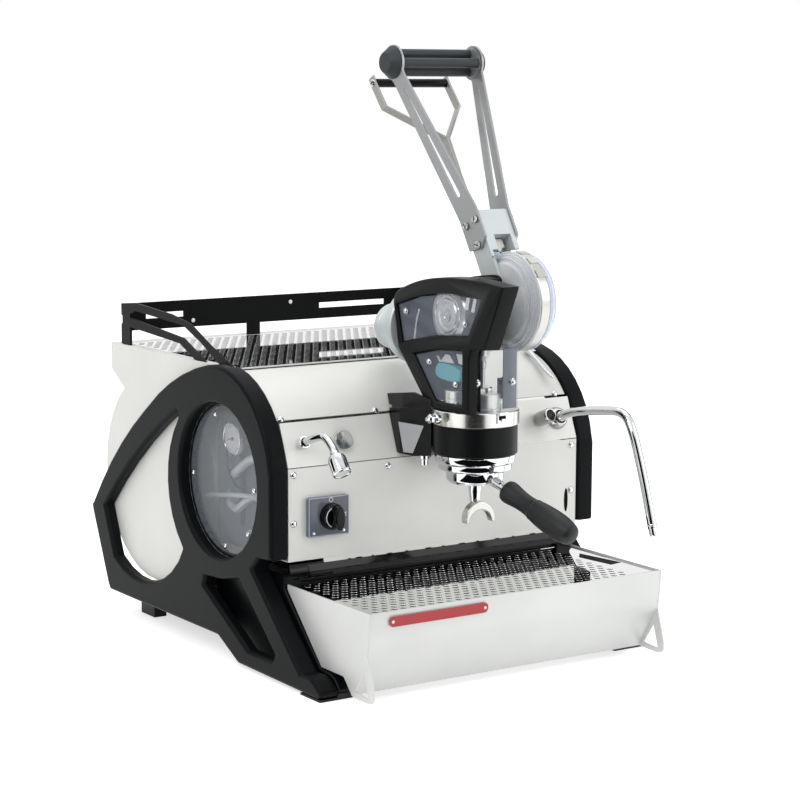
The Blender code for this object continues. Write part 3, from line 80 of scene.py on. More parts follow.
# Finishes: each row holds only what differs from the plain look
plainLook = {"metal": 0.0, "grain": 300, "depth": 0.0, "spread": 0.08, "stretch": (1, 1, 1), "shine": 0.5}
looks = {
    "framePaint": {"colour": (0.0048, 0.0058, 0.0064), "rough": 0.4, "grain": 900, "depth": 0.1, "spread": 0.1,
                   "shine": 0.07},
    "legPaint": {"colour": (0.003, 0.0038, 0.0044), "rough": 0.32, "grain": 900, "depth": 0.06, "spread": 0.1,
                 "shine": 0.14},
    "railPaint": {"colour": (0.0028, 0.0032, 0.0036), "rough": 0.36, "grain": 900, "depth": 0.06, "spread": 0.1,
                  "shine": 0.07},
    "glossBlack": {"colour": (0.002, 0.0023, 0.0026), "rough": 0.1, "spread": 0.1, "shine": 0.22},
    "neckBlack": {"colour": (0.004, 0.0044, 0.0048), "rough": 0.2, "grain": 500, "depth": 0.04, "shine": 0.26},
    "coverBlack": {"colour": (0.004, 0.0046, 0.005), "rough": 0.33, "grain": 700, "depth": 0.05, "shine": 0.13},
    "gripBlack": {"colour": (0.012, 0.0145, 0.015), "rough": 0.42, "grain": 1300, "depth": 0.12, "spread": 0.1,
                  "shine": 0.3},
    "barGrey": {"colour": (0.03, 0.036, 0.041), "rough": 0.5, "grain": 1300, "depth": 0.1, "spread": 0.1,
                "shine": 0.3},
    "padRubber": {"colour": (0.014, 0.014, 0.015), "rough": 0.75, "grain": 900, "depth": 0.25, "spread": 0.1},
    "bodySteel": {"colour": (0.73, 0.735, 0.705), "rough": 0.46, "metal": 0.2, "grain": 260, "depth": 0.01,
                  "spread": 0.05, "stretch": (0.04, 1, 1)},
    "traySteel": {"colour": (0.66, 0.67, 0.655), "rough": 0.4, "metal": 0.35, "grain": 260, "depth": 0.02,
                  "spread": 0.05, "stretch": (0.04, 1, 1)},
    "panSteel": {"colour": (0.62, 0.62, 0.6), "rough": 0.22, "metal": 1, "grain": 260, "depth": 0.02, "spread": 0.1,
                 "stretch": (0.04, 1, 1)},
    "grillSteel": {"colour": (0.8, 0.81, 0.8), "rough": 0.035, "metal": 1, "grain": 200, "spread": 0.03},
    "chrome": {"colour": (0.7, 0.715, 0.725), "rough": 0.04, "metal": 1, "grain": 120, "spread": 0.02},
    "satinSteel": {"colour": (0.7, 0.695, 0.665), "rough": 0.22, "metal": 1, "depth": 0.02, "spread": 0.06,
                   "stretch": (1, 1, 0.05)},
    "wheelSteel": {"colour": (0.58, 0.575, 0.545), "rough": 0.3, "metal": 0.9, "grain": 400, "depth": 0.02},
    "brushedArm": {"colour": (0.36, 0.37, 0.375), "rough": 0.42, "metal": 0.7, "grain": 500, "depth": 0.03,
                   "stretch": (1, 1, 0.03)},
    "blastedGrey": {"colour": (0.56, 0.605, 0.61), "rough": 0.5, "metal": 0.35, "grain": 1500, "depth": 0.08},
    "castSilver": {"colour": (0.62, 0.64, 0.65), "rough": 0.42, "metal": 0.9, "grain": 900, "depth": 0.08,
                   "spread": 0.1},
    "dialWhite": {"colour": (0.8, 0.82, 0.84), "rough": 0.35, "grain": 400, "spread": 0.05},
    "greyWall": {"colour": (0.115, 0.125, 0.135), "rough": 0.55, "grain": 60, "depth": 0.05, "spread": 0.1},
    "hoseSilver": {"colour": (0.66, 0.69, 0.73), "rough": 0.3, "metal": 0.2, "grain": 700, "depth": 0.05},
    "copper": {"colour": (0.72, 0.36, 0.22), "rough": 0.26, "metal": 1, "depth": 0.02, "spread": 0.1},
    "redEnamel": {"colour": (0.42, 0.05, 0.056), "rough": 0.3, "grain": 200, "spread": 0.04, "shine": 0.3},
    "tealCap": {"colour": (0.12, 0.47, 0.55), "rough": 0.45, "grain": 900, "depth": 0.05, "spread": 0.06},
    "insideBlack": {"colour": (0.006, 0.007, 0.009), "rough": 0.35, "depth": 0.04, "shine": 0.2},
    "smokyGrey": {"colour": (0.1, 0.11, 0.125), "rough": 0.2, "spread": 0.04},
    "knobSteel": {"colour": (0.4, 0.4, 0.39), "rough": 0.2, "metal": 0.95, "grain": 200, "spread": 0.1},
    # pale blue-grey for highlights painted along the switch plate's edges
    "paintedEdgeGlint": {"colour": (0.34, 0.37, 0.46), "rough": 0.15, "grain": 200, "spread": 0.04},
    "archSteel": {"colour": (0.62, 0.62, 0.58), "rough": 0.22, "metal": 0.8, "grain": 200, "spread": 0.06},
    "bailGrey": {"colour": (0.36, 0.365, 0.345), "rough": 0.4, "metal": 0.6, "grain": 500, "depth": 0.03},
    # lighter grey that paints the light reflected by one facet of the black neck
    "neckPaintedGlint": {"colour": (0.36, 0.37, 0.385), "rough": 0.25, "depth": 0.02},
    "barrelGrey": {"colour": (0.6, 0.645, 0.65), "rough": 0.38, "metal": 0.4, "depth": 0.02, "stretch": (1, 0.05, 1)},
    "discSilver": {"colour": (0.7, 0.71, 0.7), "rough": 0.3, "metal": 0.9, "depth": 0.02},
    "paleGrey": {"colour": (0.72, 0.73, 0.73), "rough": 0.4, "grain": 400, "depth": 0.02, "spread": 0.05},
    # black that paints the shade inside slots, holes, recesses and hood openings; also used for the gauge's printed
    # ticks and the lip marks
    "darkGap": {"colour": (0.003, 0.003, 0.0035), "rough": 0.55, "spread": 0.04, "shine": 0.05},
    "windowGrey": {"colour": (0.3, 0.33, 0.36), "rough": 0.06, "grain": 40, "spread": 0.02, "clear": 0.12,
                   "edge": 0.46},
    "clearPane": {"colour": (0.34, 0.38, 0.46), "rough": 0.03, "grain": 40, "spread": 0.01, "clear": 0.05,
                  "edge": 0.42, "shine": 0.3},
    "clearDrum": {"colour": (0.86, 0.89, 0.93), "rough": 0.05, "grain": 40, "spread": 0.01, "clear": 0.26,
                  "edge": 0.9},
    "clearBlue": {"colour": (0.66, 0.76, 0.92), "rough": 0.04, "grain": 40, "spread": 0.01, "clear": 0.22,
                  "edge": 0.86},
    "clearGrey": {"colour": (0.105, 0.115, 0.14), "rough": 0.1, "grain": 40, "spread": 0.01},
}
relief = {"detail": 4, "height": 0.0004, "leastRough": 0.02}
mottle = {"scale": 9, "detail": 3, "stops": ((0.3, 0.96), (0.7, 1.03))}
facingBlend = 0.35


# A shader node with its inputs set and fed
def addNode(tree, kind, values, feeds):
    node = tree.nodes.new("ShaderNode" + kind)
    for socket, value in values.items():
        node.inputs[socket].default_value = value
    for socket, source in feeds.items():
        tree.links.new(source, node.inputs[socket])
    return node


# A material and its shader, with the shader's own inputs set
def newMaterial(name, values):
    made = bpy.data.materials.new(name)
    made.use_nodes = True
    shader = made.node_tree.nodes["Principled BSDF"]
    for socket, value in values.items():
        shader.inputs[socket].default_value = value
    return made, shader


# A finish whose gloss, tone and fine relief vary over the piece
def makeFinish(name):
    look = {**plainLook, **looks[name]}
    made, shader = newMaterial(name, {"Metallic": look["metal"], "Specular IOR Level": look["shine"]})
    tree = made.node_tree
    coords = addNode(tree, "TexCoord", {}, {}).outputs["Object"]
    stretched = addNode(tree, "Mapping", {"Scale": look["stretch"]}, {"Vector": coords}).outputs["Vector"]
    fine = addNode(tree, "TexNoise", {"Scale": look["grain"], "Detail": relief["detail"]},
                   {"Vector": stretched}).outputs["Fac"]
    broad = addNode(tree, "TexNoise", {"Scale": mottle["scale"], "Detail": mottle["detail"]},
                    {"Vector": coords}).outputs["Fac"]
    least = max(look["rough"] * (1 - look["spread"] * 2), relief["leastRough"])
    gloss = addNode(tree, "MapRange", {"To Min": least, "To Max": look["rough"] * (1 + look["spread"] * 2)},
                    {"Value": fine})
    tree.links.new(gloss.outputs["Result"], shader.inputs["Roughness"])
    tone = addNode(tree, "ValToRGB", {}, {"Fac": broad})
    for stop, (position, share) in zip(tone.color_ramp.elements, mottle["stops"]):
        stop.position = position
        stop.color = (*(min(part * share, 1) for part in look["colour"]), 1)
    tree.links.new(tone.outputs["Color"], shader.inputs["Base Color"])
    if look["depth"]:
        bump = addNode(tree, "Bump", {"Strength": look["depth"], "Distance": relief["height"]}, {"Height": fine})
        tree.links.new(bump.outputs["Normal"], shader.inputs["Normal"])
    if "clear" in look:
        facing = addNode(tree, "LayerWeight", {"Blend": facingBlend}, {}).outputs["Facing"]
        veil = addNode(tree, "MapRange", {"To Min": look["clear"], "To Max": look["edge"]}, {"Value": facing})
        tree.links.new(veil.outputs["Result"], shader.inputs["Alpha"])
    return made


finishes = {name: makeFinish(name) for name in looks}
print("finishes made", len(finishes))

# Making pieces
mergeNear, mergeWide = 0.000002, 0.00002
edgeEase = {"segments": 2, "sharp": 28}


# Several bmeshes as one
def gather(works):
    whole = bmesh.new()
    for work in works:
        mesh = bpy.data.meshes.new("part")
        work.to_mesh(mesh)
        work.free()
        whole.from_mesh(mesh)
        bpy.data.meshes.remove(mesh)
    return whole


# An object in the scene from a bmesh
def addObject(work, name, material=None):
    mesh = bpy.data.meshes.new(name)
    work.to_mesh(mesh)
    work.free()
    if material:
        mesh.materials.append(material)
    item = bpy.data.objects.new(name, mesh)
    bpy.context.scene.collection.objects.link(item)
    return item


# The final mesh of an object, as a bmesh
def finalForm(item):
    bpy.context.view_layer.update()
    mesh = bpy.data.meshes.new_from_object(item.evaluated_get(bpy.context.evaluated_depsgraph_get()))
    work = bmesh.new()
    work.from_mesh(mesh)
    bpy.data.meshes.remove(mesh)
    return work


# A finished piece. Its owner is the CAD node that it stands for, or else a body and a material slot.
def newPiece(work, name, finish, owner, bevel=0.0, smooth=38.0):
    stands = (owner,) if owner in bodyOf else ()
    body, slot = (bodyOf[owner], None) if stands else owner
    piece = addObject(gather(work) if isinstance(work, list) else work, name, finishes[finish])
    piece.data.shade_smooth()
    piece.data.set_sharp_from_angle(angle=math.radians(smooth))
    if bevel:
        edge = piece.modifiers.new("edge", "BEVEL")
        edge.width = bevel * mm
        edge.segments = edgeEase["segments"]
        edge.limit_method = "ANGLE"
        edge.angle_limit = math.radians(edgeEase["sharp"])
        edge.miter_outer = "MITER_ARC"
        even = piece.modifiers.new("even", "WEIGHTED_NORMAL")
        even.keep_sharp = True
    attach(piece, body)
    if stands:
        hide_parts(*stands)
    return piece


# A bmesh turned by degrees about an axis through a spot
def turned(work, degrees, axis, about=(0, 0, 0)):
    turn = Matrix.Rotation(math.radians(degrees), 3, axis)
    bmesh.ops.rotate(work, cent=about, matrix=turn, verts=work.verts)
    return work


# A bmesh made along Z, aimed along an axis and set at a spot
def aimed(work, spot, axis):
    turn = Vector(upward).rotation_difference(Vector(axis).normalized()).to_matrix().to_4x4()
    bmesh.ops.transform(work, matrix=Matrix.Translation(spot) @ turn, verts=work.verts)
    return work


# A profile of (radius, height) turned about an axis through a spot
def spun(profile, spot, axis=upward, steps=64):
    work = bmesh.new()
    points = [work.verts.new((radius * mm, 0, height * mm)) for radius, height in profile]
    lines = [work.edges.new(pair) for pair in zip(points, points[1:])]
    bmesh.ops.spin(work, geom=points + lines, cent=(0, 0, 0), axis=upward, angle=math.tau, steps=steps,
                   use_merge=True)
    bmesh.ops.remove_doubles(work, verts=work.verts, dist=mergeNear)
    bmesh.ops.recalc_face_normals(work, faces=work.faces)
    return aimed(work, spot, axis)


# A smooth line through its points
def smoothRun(points, steps):
    run = []
    for index in range(len(points) - 1):
        before, start = points[max(index - 1, 0)], points[index]
        end, after = points[index + 1], points[min(index + 2, len(points) - 1)]
        for step in range(steps):
            t = step / steps
            run.append(((start * 2) + (end - before) * t + (before * 2 - start * 5 + end * 4 - after) * t * t
                        + (start * 3 - before - end * 3 + after) * t ** 3) / 2)
    return run + [points[-1]]


# A flat outline's points, made smooth
def eased(points, steps=6):
    return [(point.x, point.y) for point in smoothRun([Vector(pair) for pair in points], steps)]


# Points round an oval, at angles in degrees
def ovalPoints(centre, radii, angles):
    return [(centre[0] + radii[0] * math.cos(math.radians(a)), centre[1] + radii[1] * math.sin(math.radians(a)))
            for a in angles]


# A bar or hose along a smooth line, with closed ends
def bent(points, radius, steps=8, sides=5):
    run = smoothRun([Vector(point) for point in points], steps)
    curve = bpy.data.curves.new("route", "CURVE")
    curve.dimensions = "3D"
    curve.bevel_depth = radius * mm
    curve.bevel_resolution = sides
    curve.use_fill_caps = True
    line = curve.splines.new("POLY")
    line.points.add(len(run) - 1)
    for point, spot in zip(line.points, run):
        point.co = (*spot, 1)
    item = bpy.data.objects.new("route", curve)
    bpy.context.scene.collection.objects.link(item)
    work = finalForm(item)
    bpy.data.objects.remove(item)
    bpy.data.curves.remove(curve)
    bmesh.ops.remove_doubles(work, verts=work.verts, dist=mergeWide / 2)
    bmesh.ops.recalc_face_normals(work, faces=work.faces)
    return work


# A box between two corners, in mm
def block(low, high):
    work = bmesh.new()
    bmesh.ops.create_cube(work, size=1)
    bmesh.ops.scale(work, vec=[(b - a) * mm for a, b in zip(low, high)], verts=work.verts)
    bmesh.ops.translate(work, vec=place(*((a + b) / 2 for a, b in zip(low, high))), verts=work.verts)
    return work


# Faces drawn out, with the far points given back
def drawnOut(work, faces):
    grown = bmesh.ops.extrude_face_region(work, geom=faces)["geom"]
    return [item for item in grown if isinstance(item, bmesh.types.BMVert)]


# A flat outline given thickness along X, Y or Z; its points are the other two, in mm
def slab(outline, low, high, way="X"):
    at = "XYZ".index(way)
    work = bmesh.new()
    points = [pair[:at] + (low,) + pair[at:] for pair in outline]
    face = work.faces.new([work.verts.new(place(*point)) for point in points])
    push = Vector()
    push[at] = (high - low) * mm
    bmesh.ops.translate(work, vec=push, verts=drawnOut(work, [face]))
    bmesh.ops.recalc_face_normals(work, faces=work.faces)
    return work


# One closed form with others cut out of it
def carved(work, cuts):
    items = [addObject(form, "form") for form in [work] + cuts]
    for tool in items[1:]:
        hollow = items[0].modifiers.new("hollow", "BOOLEAN")
        hollow.object = tool
        hollow.operation = "DIFFERENCE"
        hollow.solver = "EXACT"
    result = finalForm(items[0])
    for item in items:
        bpy.data.objects.remove(item)
    bmesh.ops.remove_doubles(result, verts=result.verts, dist=mergeWide)
    return result


# Screw heads: a dome, a pan, an acorn or a nut, as shares of their radius and height
def head(spot, axis, radius, high, kind="dome"):
    shapes = {
        "dome": ((0, 1), (0.55, 0.88), (0.88, 0.52), (1, 0.1), (1, 0), (0, 0)),
        "pan": ((0, 1), (0.72, 1), (0.95, 0.75), (1, 0.4), (1, 0), (0, 0)),
        "acorn": ((0, 1), (0.5, 0.92), (0.85, 0.6), (0.9, 0.4), (1, 0.36), (1, 0), (0, 0)),
        "nut": ((0, 1), (0.45, 1), (0.5, 0.55), (0.92, 0.5), (1, 0.42), (1, 0), (0, 0)),
    }
    profile = [(radius * across, high * along) for across, along in shapes[kind]]
    return spun(profile, spot, axis, 6 if kind == "nut" else 20)


slotShape = {"long": 1.7, "wide": 0.3, "deep": 0.5, "sunk": 0.1}


# The slot across a screw head, as a dark bar that paints the shade inside the slot
def slotBar(spot, axis, radius, high, angle):
    work = bmesh.new()
    bmesh.ops.create_cube(work, size=1)
    bmesh.ops.scale(work, vec=Vector((radius * slotShape["long"], radius * slotShape["wide"],
                                      slotShape["deep"])) * mm, verts=work.verts)
    turned(work, angle, "Z")
    bmesh.ops.translate(work, vec=Vector((0, 0, (high - slotShape["sunk"]) * mm)), verts=work.verts)
    return aimed(work, spot, axis)


# CAD nodes merged and with their edges eased, each under its finish and bevel
skins = {
    "side_frame_left": ("framePaint", 1.5), "side_frame_right": ("framePaint", 1.5),
    "inner_leg_left": ("legPaint", 2.0), "inner_leg_right": ("legPaint", 2.0), "chassis": ("legPaint", 0.4),
    "cup_rail": ("railPaint", 0.4), "group_neck": ("neckBlack", 1.0),
    "toe_pad_left": ("padRubber", 0.0), "toe_pad_right": ("padRubber", 0.0),
    "side_panel_left": ("bodySteel", 0.3), "side_panel_right": ("bodySteel", 0.3), "body_wrap": ("bodySteel", 0.0),
    "front_panel_lower": ("bodySteel", 0.3), "front_panel_middle": ("bodySteel", 0.3),
    "front_panel_upper": ("bodySteel", 0.3), "boiler": ("bodySteel", 0.0), "drip_tray": ("traySteel", 0.3),
    "drip_pan": ("panSteel", 0.3), "lever_bracket": ("chrome", 0.5), "steam_lever": ("chrome", 1.0),
    "head_core": ("castSilver", 0.6), "inner_wall_left": ("greyWall", 0.0), "lever_yoke": ("blastedGrey", 0.8),
    "lever_arm_left": ("brushedArm", 0.4), "lever_arm_right": ("brushedArm", 0.4),
    "bail_straps": ("bailGrey", 0.6), "bail_grip": ("coverBlack", 0.5), "switch_plate": ("clearGrey", 0.9),
    "side_pane_left": ("windowGrey", 0.8), "side_pane_right": ("windowGrey", 0.8),
    "head_pane_upper": ("clearPane", 0.2), "head_pane_lower": ("clearPane", 0.2), "front_glass": ("clearPane", 0.2),
    "copper_pipe": ("copper", 0.0), "water_hose": ("hoseSilver", 0.0),
}
flatWithin = math.radians(0.8)
for node, (finish, bevel) in skins.items():
    form = bmesh.new()
    form.from_mesh(frame["nodes"][node].data)
    bmesh.ops.remove_doubles(form, verts=form.verts, dist=mergeWide)
    bmesh.ops.dissolve_limit(form, angle_limit=flatWithin, verts=form.verts, edges=form.edges)
    newPiece(form, node + "_skin", finish, node, bevel)
print("nodes dressed", len(skins))

# Places and directions that several pieces share
groupAxis = place(0, 103, 0)
panel = {"y": 184.5, "z": 269.3, "lean": 0.38745}
panelOut = Vector((0, -0.9325, 0.3613))
leverAt, leverLean, leverReach = (98, 471), -31.3, 351.5
leverPivot = place(0, *leverAt)
gripPivot = leverPivot + Matrix.Rotation(math.radians(leverLean), 3, "X") @ (Vector((0, 0, leverReach)) * mm)
discSpot, gaugeAt = place(-38, 107, 458), (349, 283)
gaugeSpot = place(-196.3, *gaugeAt)
tapRow = {"high": 296.5, "spout": -203, "button": -142, "buttonHigh": 295.5, "knob": 170, "wand": 201}
switchAt = {"x": -170, "z": 204.5, "face": 176.2, "knob": (7.4, 15.4), "knobFront": 152.6, "knobBack": 170,
            "arc": 12.8, "arcFront": 165.9, "arcThick": 0.5}


# A place on the sloping panel
def onPanel(x, z, out=0.0):
    return place(x, panel["y"] + (z - panel["z"]) * panel["lean"], z) + panelOut * out * mm


# Portafilter grip, dropping to the front
grip = {"turn": 10.5, "drop": 21.0, "start": 37.6, "height": 246.5, "from": 56.0, "gap": 0.3, "reach": 26,
        "shape": [(0, 120.3), (6, 119.8), (11.0, 117.6), (13.6, 113.5), (14.8, 108), (16.2, 100), (16.8, 90),
            (16.6, 78), (15.6, 64), (14.6, 56), (14.1, 52.5), (14.2, 50.5), (13.4, 49), (12.4, 44), (12.0, 36),
            (12.3, 26), (13.4, 16), (14.4, 9), (14.5, 4), (13.8, 1.2), (12, 0), (0, 0)]}
turn, drop = math.radians(grip["turn"]), math.radians(grip["drop"])
gripFlat = Vector((math.sin(turn), -math.cos(turn), 0))
gripAim = gripFlat * math.cos(drop) - Vector((0, 0, math.sin(drop)))
neckStart = groupAxis + gripFlat * grip["start"] * mm + Vector((0, 0, grip["height"] * mm))
neckLong = (grip["from"] - grip["start"]) / math.cos(drop)
gripStart = neckStart + gripAim * (neckLong + grip["gap"]) * mm
gripProfile = [(max(across, 0), along) for across, along in eased(grip["shape"], 4)]

# Hot-water spout: its ball, pipe and nozzle
ball = [(0, 7.4), (2.8, 6.85), (5.2, 5.25), (6.8, 2.9), (7.4, 0), (6.8, -2.9), (5.2, -5.25), (2.8, -6.85), (0, -7.4)]
spout = {"out": 12.6, "pipe": 5.2, "straight": 8.4, "end": 1.2, "ball": 0.703, "top": (0, -68.75, -5.55),
         "bend": (0, -42.6, 12), "nozzle": -29, "sieve": -28.6}
spoutStart = onPanel(tapRow["spout"], tapRow["high"], spout["out"])
spoutTop, spoutLift = spoutStart + Vector(spout["top"]) * mm, Vector((0, 0.6157, 0.788))
spoutBall = [(radius * spout["ball"], high * spout["ball"]) for radius, high in ball]
nozzleShape = [(0, 1.6), (8.4, 1.6), (9.2, 1.0), (9.6, 0.2), (10.6, 0), (11.4, 0.4), (11.8, 1.2), (11.8, 2.8),
        (11.4, 3.2), (11.8, 3.6), (11.8, 19.5), (11.2, 22.6), (9.8, 25.2), (8.0, 27.0), (6.6, 27.8), (6.4, 29.4),
        (5.8, 31), (0, 31)]

# Turned pieces: finish, owner, spot, axis, steps, sharp angle and profile
steelTrim, clearTrim, darkSheet = ("machine", "steel"), ("machine", "clear"), ("machine", "black_plastic")
darkTrim, paleTrim, leverSteel = ("machine", "black_paint"), ("machine", "light_grey"), ("lever", "steel")
turnedRows = {
    "groupRing": ("satinSteel", "group_ring", groupAxis, upward, 96, 30,
        [(0, 338.4), (54.9, 338.4), (55.7, 337.6), (55.7, 320.4), (54.9, 319.6), (0, 319.6)]),
    "groupBand": ("coverBlack", "group_band", groupAxis, upward, 96, 30,
        [(0, 319.3), (52.9, 319.3), (53.9, 318.3), (53.9, 282.8), (52.7, 281.6), (0, 281.6)]),
    "groupBell": ("chrome", "group_bell", groupAxis, upward, 96, 30,
        [(0, 281.3), (51.0, 281.3), (51.7, 280.6), (51.7, 274.4), (51.0, 271.6), (49.2, 269.9), (47.9, 269.6),
         (47.6, 269.0), (47.6, 264.2), (46.9, 261.8), (45.0, 260.4), (0, 260.4)]),
    "pistonBody": ("satinSteel", "piston", groupAxis, upward, 96, 30,
        [(0, 426.5), (5.5, 426.5), (6, 426), (6, 366), (19.6, 366), (21, 364.6), (21, 360), (20, 359.2), (20, 357.2),
         (21, 356.4), (21, 345.2), (19.8, 344), (0, 344)]),
    "portafilterGrip": ("gripBlack", "portafilter_grip", gripStart, gripAim, 64, 50, gripProfile),
    "drumCoverLeft": ("clearDrum", "drum_cover_left", place(50.7, *leverAt), leftward, 128, 24,
        [(8.4, 14.4), (45.5, 14.4), (48.6, 13.6), (50.4, 11.8), (51.0, 9.8), (53.0, 9.4), (53.8, 8.4), (54.6, 9.2),
         (56.0, 9.2), (56.8, 7.2), (57.8, 7.0), (58.4, 5.6), (60.2, 5.4), (61.0, 3.6), (63.0, 3.4), (64, 2.4),
         (64, 0.2), (62, 0.2), (61.8, 1.6), (51, 6.6), (48.6, 11.0), (46, 12.0), (8.4, 12.0), (8.4, 14.4)]),
    "drumCoverRight": ("clearBlue", "drum_cover_right", place(65.3, *leverAt), rightward, 128, 24,
        [(8.4, 15.6), (49, 15.6), (54, 14.8), (58.4, 12.4), (61.4, 8.8), (63.2, 5.0), (64, 2.8), (64, 0.2),
         (62, 0.2), (61.2, 3.0), (58.6, 7.4), (54.6, 11.0), (49, 12.8), (8.4, 12.8), (8.4, 15.6)]),
    "headDisc": ("discSilver", steelTrim, discSpot, leftward, 96, 24,
        [(0, 5.6), (2.0, 5.6), (2.6, 4.8), (4.6, 4.4), (5.6, 5.6), (7.6, 5.6), (8.4, 4.2), (15.5, 4.0), (17.5, 5.4),
         (20.5, 5.4), (22.0, 4.0), (27.5, 3.6), (35.0, 1.8), (39.5, -3.0), (41.5, -8.4), (0, -8.4)]),
    "valveFoot": ("discSilver", steelTrim, place(-29.6, 98, 346), upward, 48, 24,
        [(0, 0), (17.0, 0), (17.6, 0.6), (17.6, 7.6), (17.0, 8.2), (17.6, 8.8), (17.6, 17.4), (16.8, 18.2),
         (0, 18.2)]),
    "wandSocket": ("knobSteel", "steam_flange", onPanel(tapRow["wand"], tapRow["high"]), panelOut, 64, 30,
        [(0, 0.3), (15.3, 0.3), (15.3, 1.6), (14.6, 3.6), (13.0, 7.4), (11.8, 8.8), (10.6, 9.6), (9.6, 9.6),
         (9.0, 8.8), (8.4, 7.4), (6.6, 4.2), (0, 2.6)]),
    "steamKnob": ("knobSteel", "steam_knob", onPanel(tapRow["knob"], tapRow["high"]), panelOut, 64, 30,
        [(0, 0.3), (6.5, 0.3), (6.5, 3.4), (8.6, 4.2), (9.6, 5.2), (10, 7), (10, 26.8), (9.6, 28.8), (8.6, 30.2),
         (7.4, 30.3), (6.8, 29.6), (6.5, 28), (6.5, 15.3), (0, 15.3)]),
    "spoutSocket": ("chrome", "spout_collar", onPanel(tapRow["spout"], tapRow["high"]), panelOut, 64, 30,
        [(0, 0.3), (7.4, 0.3), (7.4, 8.6), (8.0, 9.2), (8.0, 11.4), (7.2, 12.3), (6.4, 12.3), (6.0, 10.6), (4.4, 7.4),
         (0, 6.2)]),
    "spoutSieve": ("paleGrey", ("spout", "chrome"), spoutTop + spoutLift * spout["sieve"] * mm, spoutLift, 48, 38,
        [(0, 0.9), (8.0, 0.9), (8.3, 0.3), (0, 0.3)]),
    "flushButton": ("knobSteel", "flush_button", onPanel(tapRow["button"], tapRow["buttonHigh"]), panelOut, 72, 30,
        [(0, -4), (4.5, -4), (4.5, 3.9), (11.4, 3.9), (12.4, 4.4), (12.8, 5.2), (12.6, 6.0), (12.0, 6.4), (11.4, 6.3),
         (8.4, 5.6), (5.4, 5.1), (3.2, 4.9), (2.9, 5.3), (2.3, 5.3), (2.0, 4.7), (0, 4.5)]),
    "switchBase": ("glossBlack", ("switch", "black_plastic"), place(switchAt["x"], switchAt["face"], switchAt["z"]),
                   forward, 64, 30,
        [(0, 0.2), (17, 0.2), (17, 5.0), (16.2, 6.6), (14.6, 7.4), (13.4, 9.8), (12.4, 10.4), (0, 10.4)]),
    "gaugeCase": ("chrome", "pressure_gauge", gaugeSpot, leftward, 72, 30,
        [(0, 0), (20, 0), (22.4, 1.2), (23, 3), (23, 17.6), (22.4, 19.4), (21.4, 20), (20.4, 19.6), (19.8, 18.6),
         (19.8, 17), (0, 17)]),
    "gaugeDial": ("dialWhite", paleTrim, gaugeSpot, leftward, 64, 38,
        [(0, 17.1), (19.7, 17.1), (19.7, 17.5), (0, 17.5)]),
}
for name, (finish, owner, spot, axis, steps, smooth, profile) in turnedRows.items():
    newPiece(spun(profile, spot, axis, steps), name, finish, owner, smooth=smooth)
print("turned pieces made")

# Barrel behind the head: stub, collar, skewed cone and can
barrel = {"low": 425, "high": 432, "steps": 96, "ends": ((48.4, 239, 432), (30.4, 261.2, 425)),
          "stub": [(0, 205.8), (21.5, 205.8), (21.5, 224.2), (0, 224.2)],
          "collar": [(0, 224.2), (48.9, 224.2), (50.5, 225.8), (50.5, 237.6), (49.4, 239.2), (0, 239.2)],
          "can": [(0, 261), (30.4, 261), (30, 263.5), (30, 281.5), (29.3, 282.2), (29.3, 283.4), (30, 284.1),
              (30, 293), (28.6, 295.4), (24, 297), (0, 297)]}
cone = bmesh.new()
for radius, y, z in barrel["ends"]:
    hoop = bmesh.ops.create_circle(cone, segments=barrel["steps"], radius=radius * mm)["verts"]
    bmesh.ops.rotate(cone, cent=(0, 0, 0), matrix=Matrix.Rotation(math.pi / 2, 3, "X"), verts=hoop)
    bmesh.ops.translate(cone, vec=place(0, y, z), verts=hoop)
bmesh.ops.bridge_loops(cone, edges=cone.edges[:])
bmesh.ops.holes_fill(cone, edges=cone.edges[:])
bmesh.ops.recalc_face_normals(cone, faces=cone.faces)
lowSpot, highSpot = place(0, 0, barrel["low"]), place(0, 0, barrel["high"])
newPiece([spun(barrel["stub"], lowSpot, backward, 48), spun(barrel["collar"], highSpot, backward, barrel["steps"]),
          spun(barrel["can"], lowSpot, backward, barrel["steps"]), cone], "headBarrel", "barrelGrey", "head_barrel",
         smooth=30)

# Head cover: a bevelled block with two flared windows
cover = {"out": -50, "in": -25, "edge": 2.4, "flareDeep": 2.4, "flares": {"upper": 1.07, "lower": 1.09},
         "front": [(-13, 488), (18, 423), (46, 421), (50, 408), (50, 339), (138, 339), (206, 408)],
         "top": [(218, 468), (207, 482), (160, 498), (100, 506.5), (30, 507.2), (-20, 503.5)],
         "upper": [(212, 463), (160, 478), (100, 486), (26, 486), (54, 437), (120, 432), (199, 416)],
         "lower": [(172, 403), (118, 414), (65, 418), (65, 349), (123, 349)],
         "pocket": ((-36, 44, 336), (-22, 75, 419))}


# A window cut with a flare at its outer rim
def flared(outline, x, deep, spread):
    tool = slab(outline, x - 1, x + deep)
    middle = sum((vert.co for vert in tool.verts), Vector()) / len(tool.verts)
    rim = [vert for vert in tool.verts if vert.co.x < (x * mm)]
    bmesh.ops.scale(tool, vec=(1, spread, spread), space=Matrix.Translation(-middle), verts=rim)
    return tool


coverForm = slab(cover["front"] + eased(cover["top"]), cover["out"], cover["in"])
outside = (cover["out"] + 0.1) * mm
rimEdges = [edge for edge in coverForm.edges if all(vert.co.x < outside for vert in edge.verts)]
bmesh.ops.bevel(coverForm, geom=rimEdges, offset=cover["edge"] * mm, offset_type="OFFSET", segments=3, profile=0.5,
                affect="EDGES", material=-1, clamp_overlap=True)
windows = {"upper": eased(cover["upper"][:4]) + cover["upper"][4:], "lower": cover["lower"]}
windowCuts = [slab(outline, cover["out"] - 2, cover["in"] + 5) for outline in windows.values()]
windowCuts += [flared(outline, cover["out"], cover["flareDeep"], cover["flares"][key])
               for key, outline in windows.items()]
newPiece(carved(coverForm, windowCuts + [block(*cover["pocket"])]), "headCoverLeft", "coverBlack", "head_cover_left",
         smooth=32)

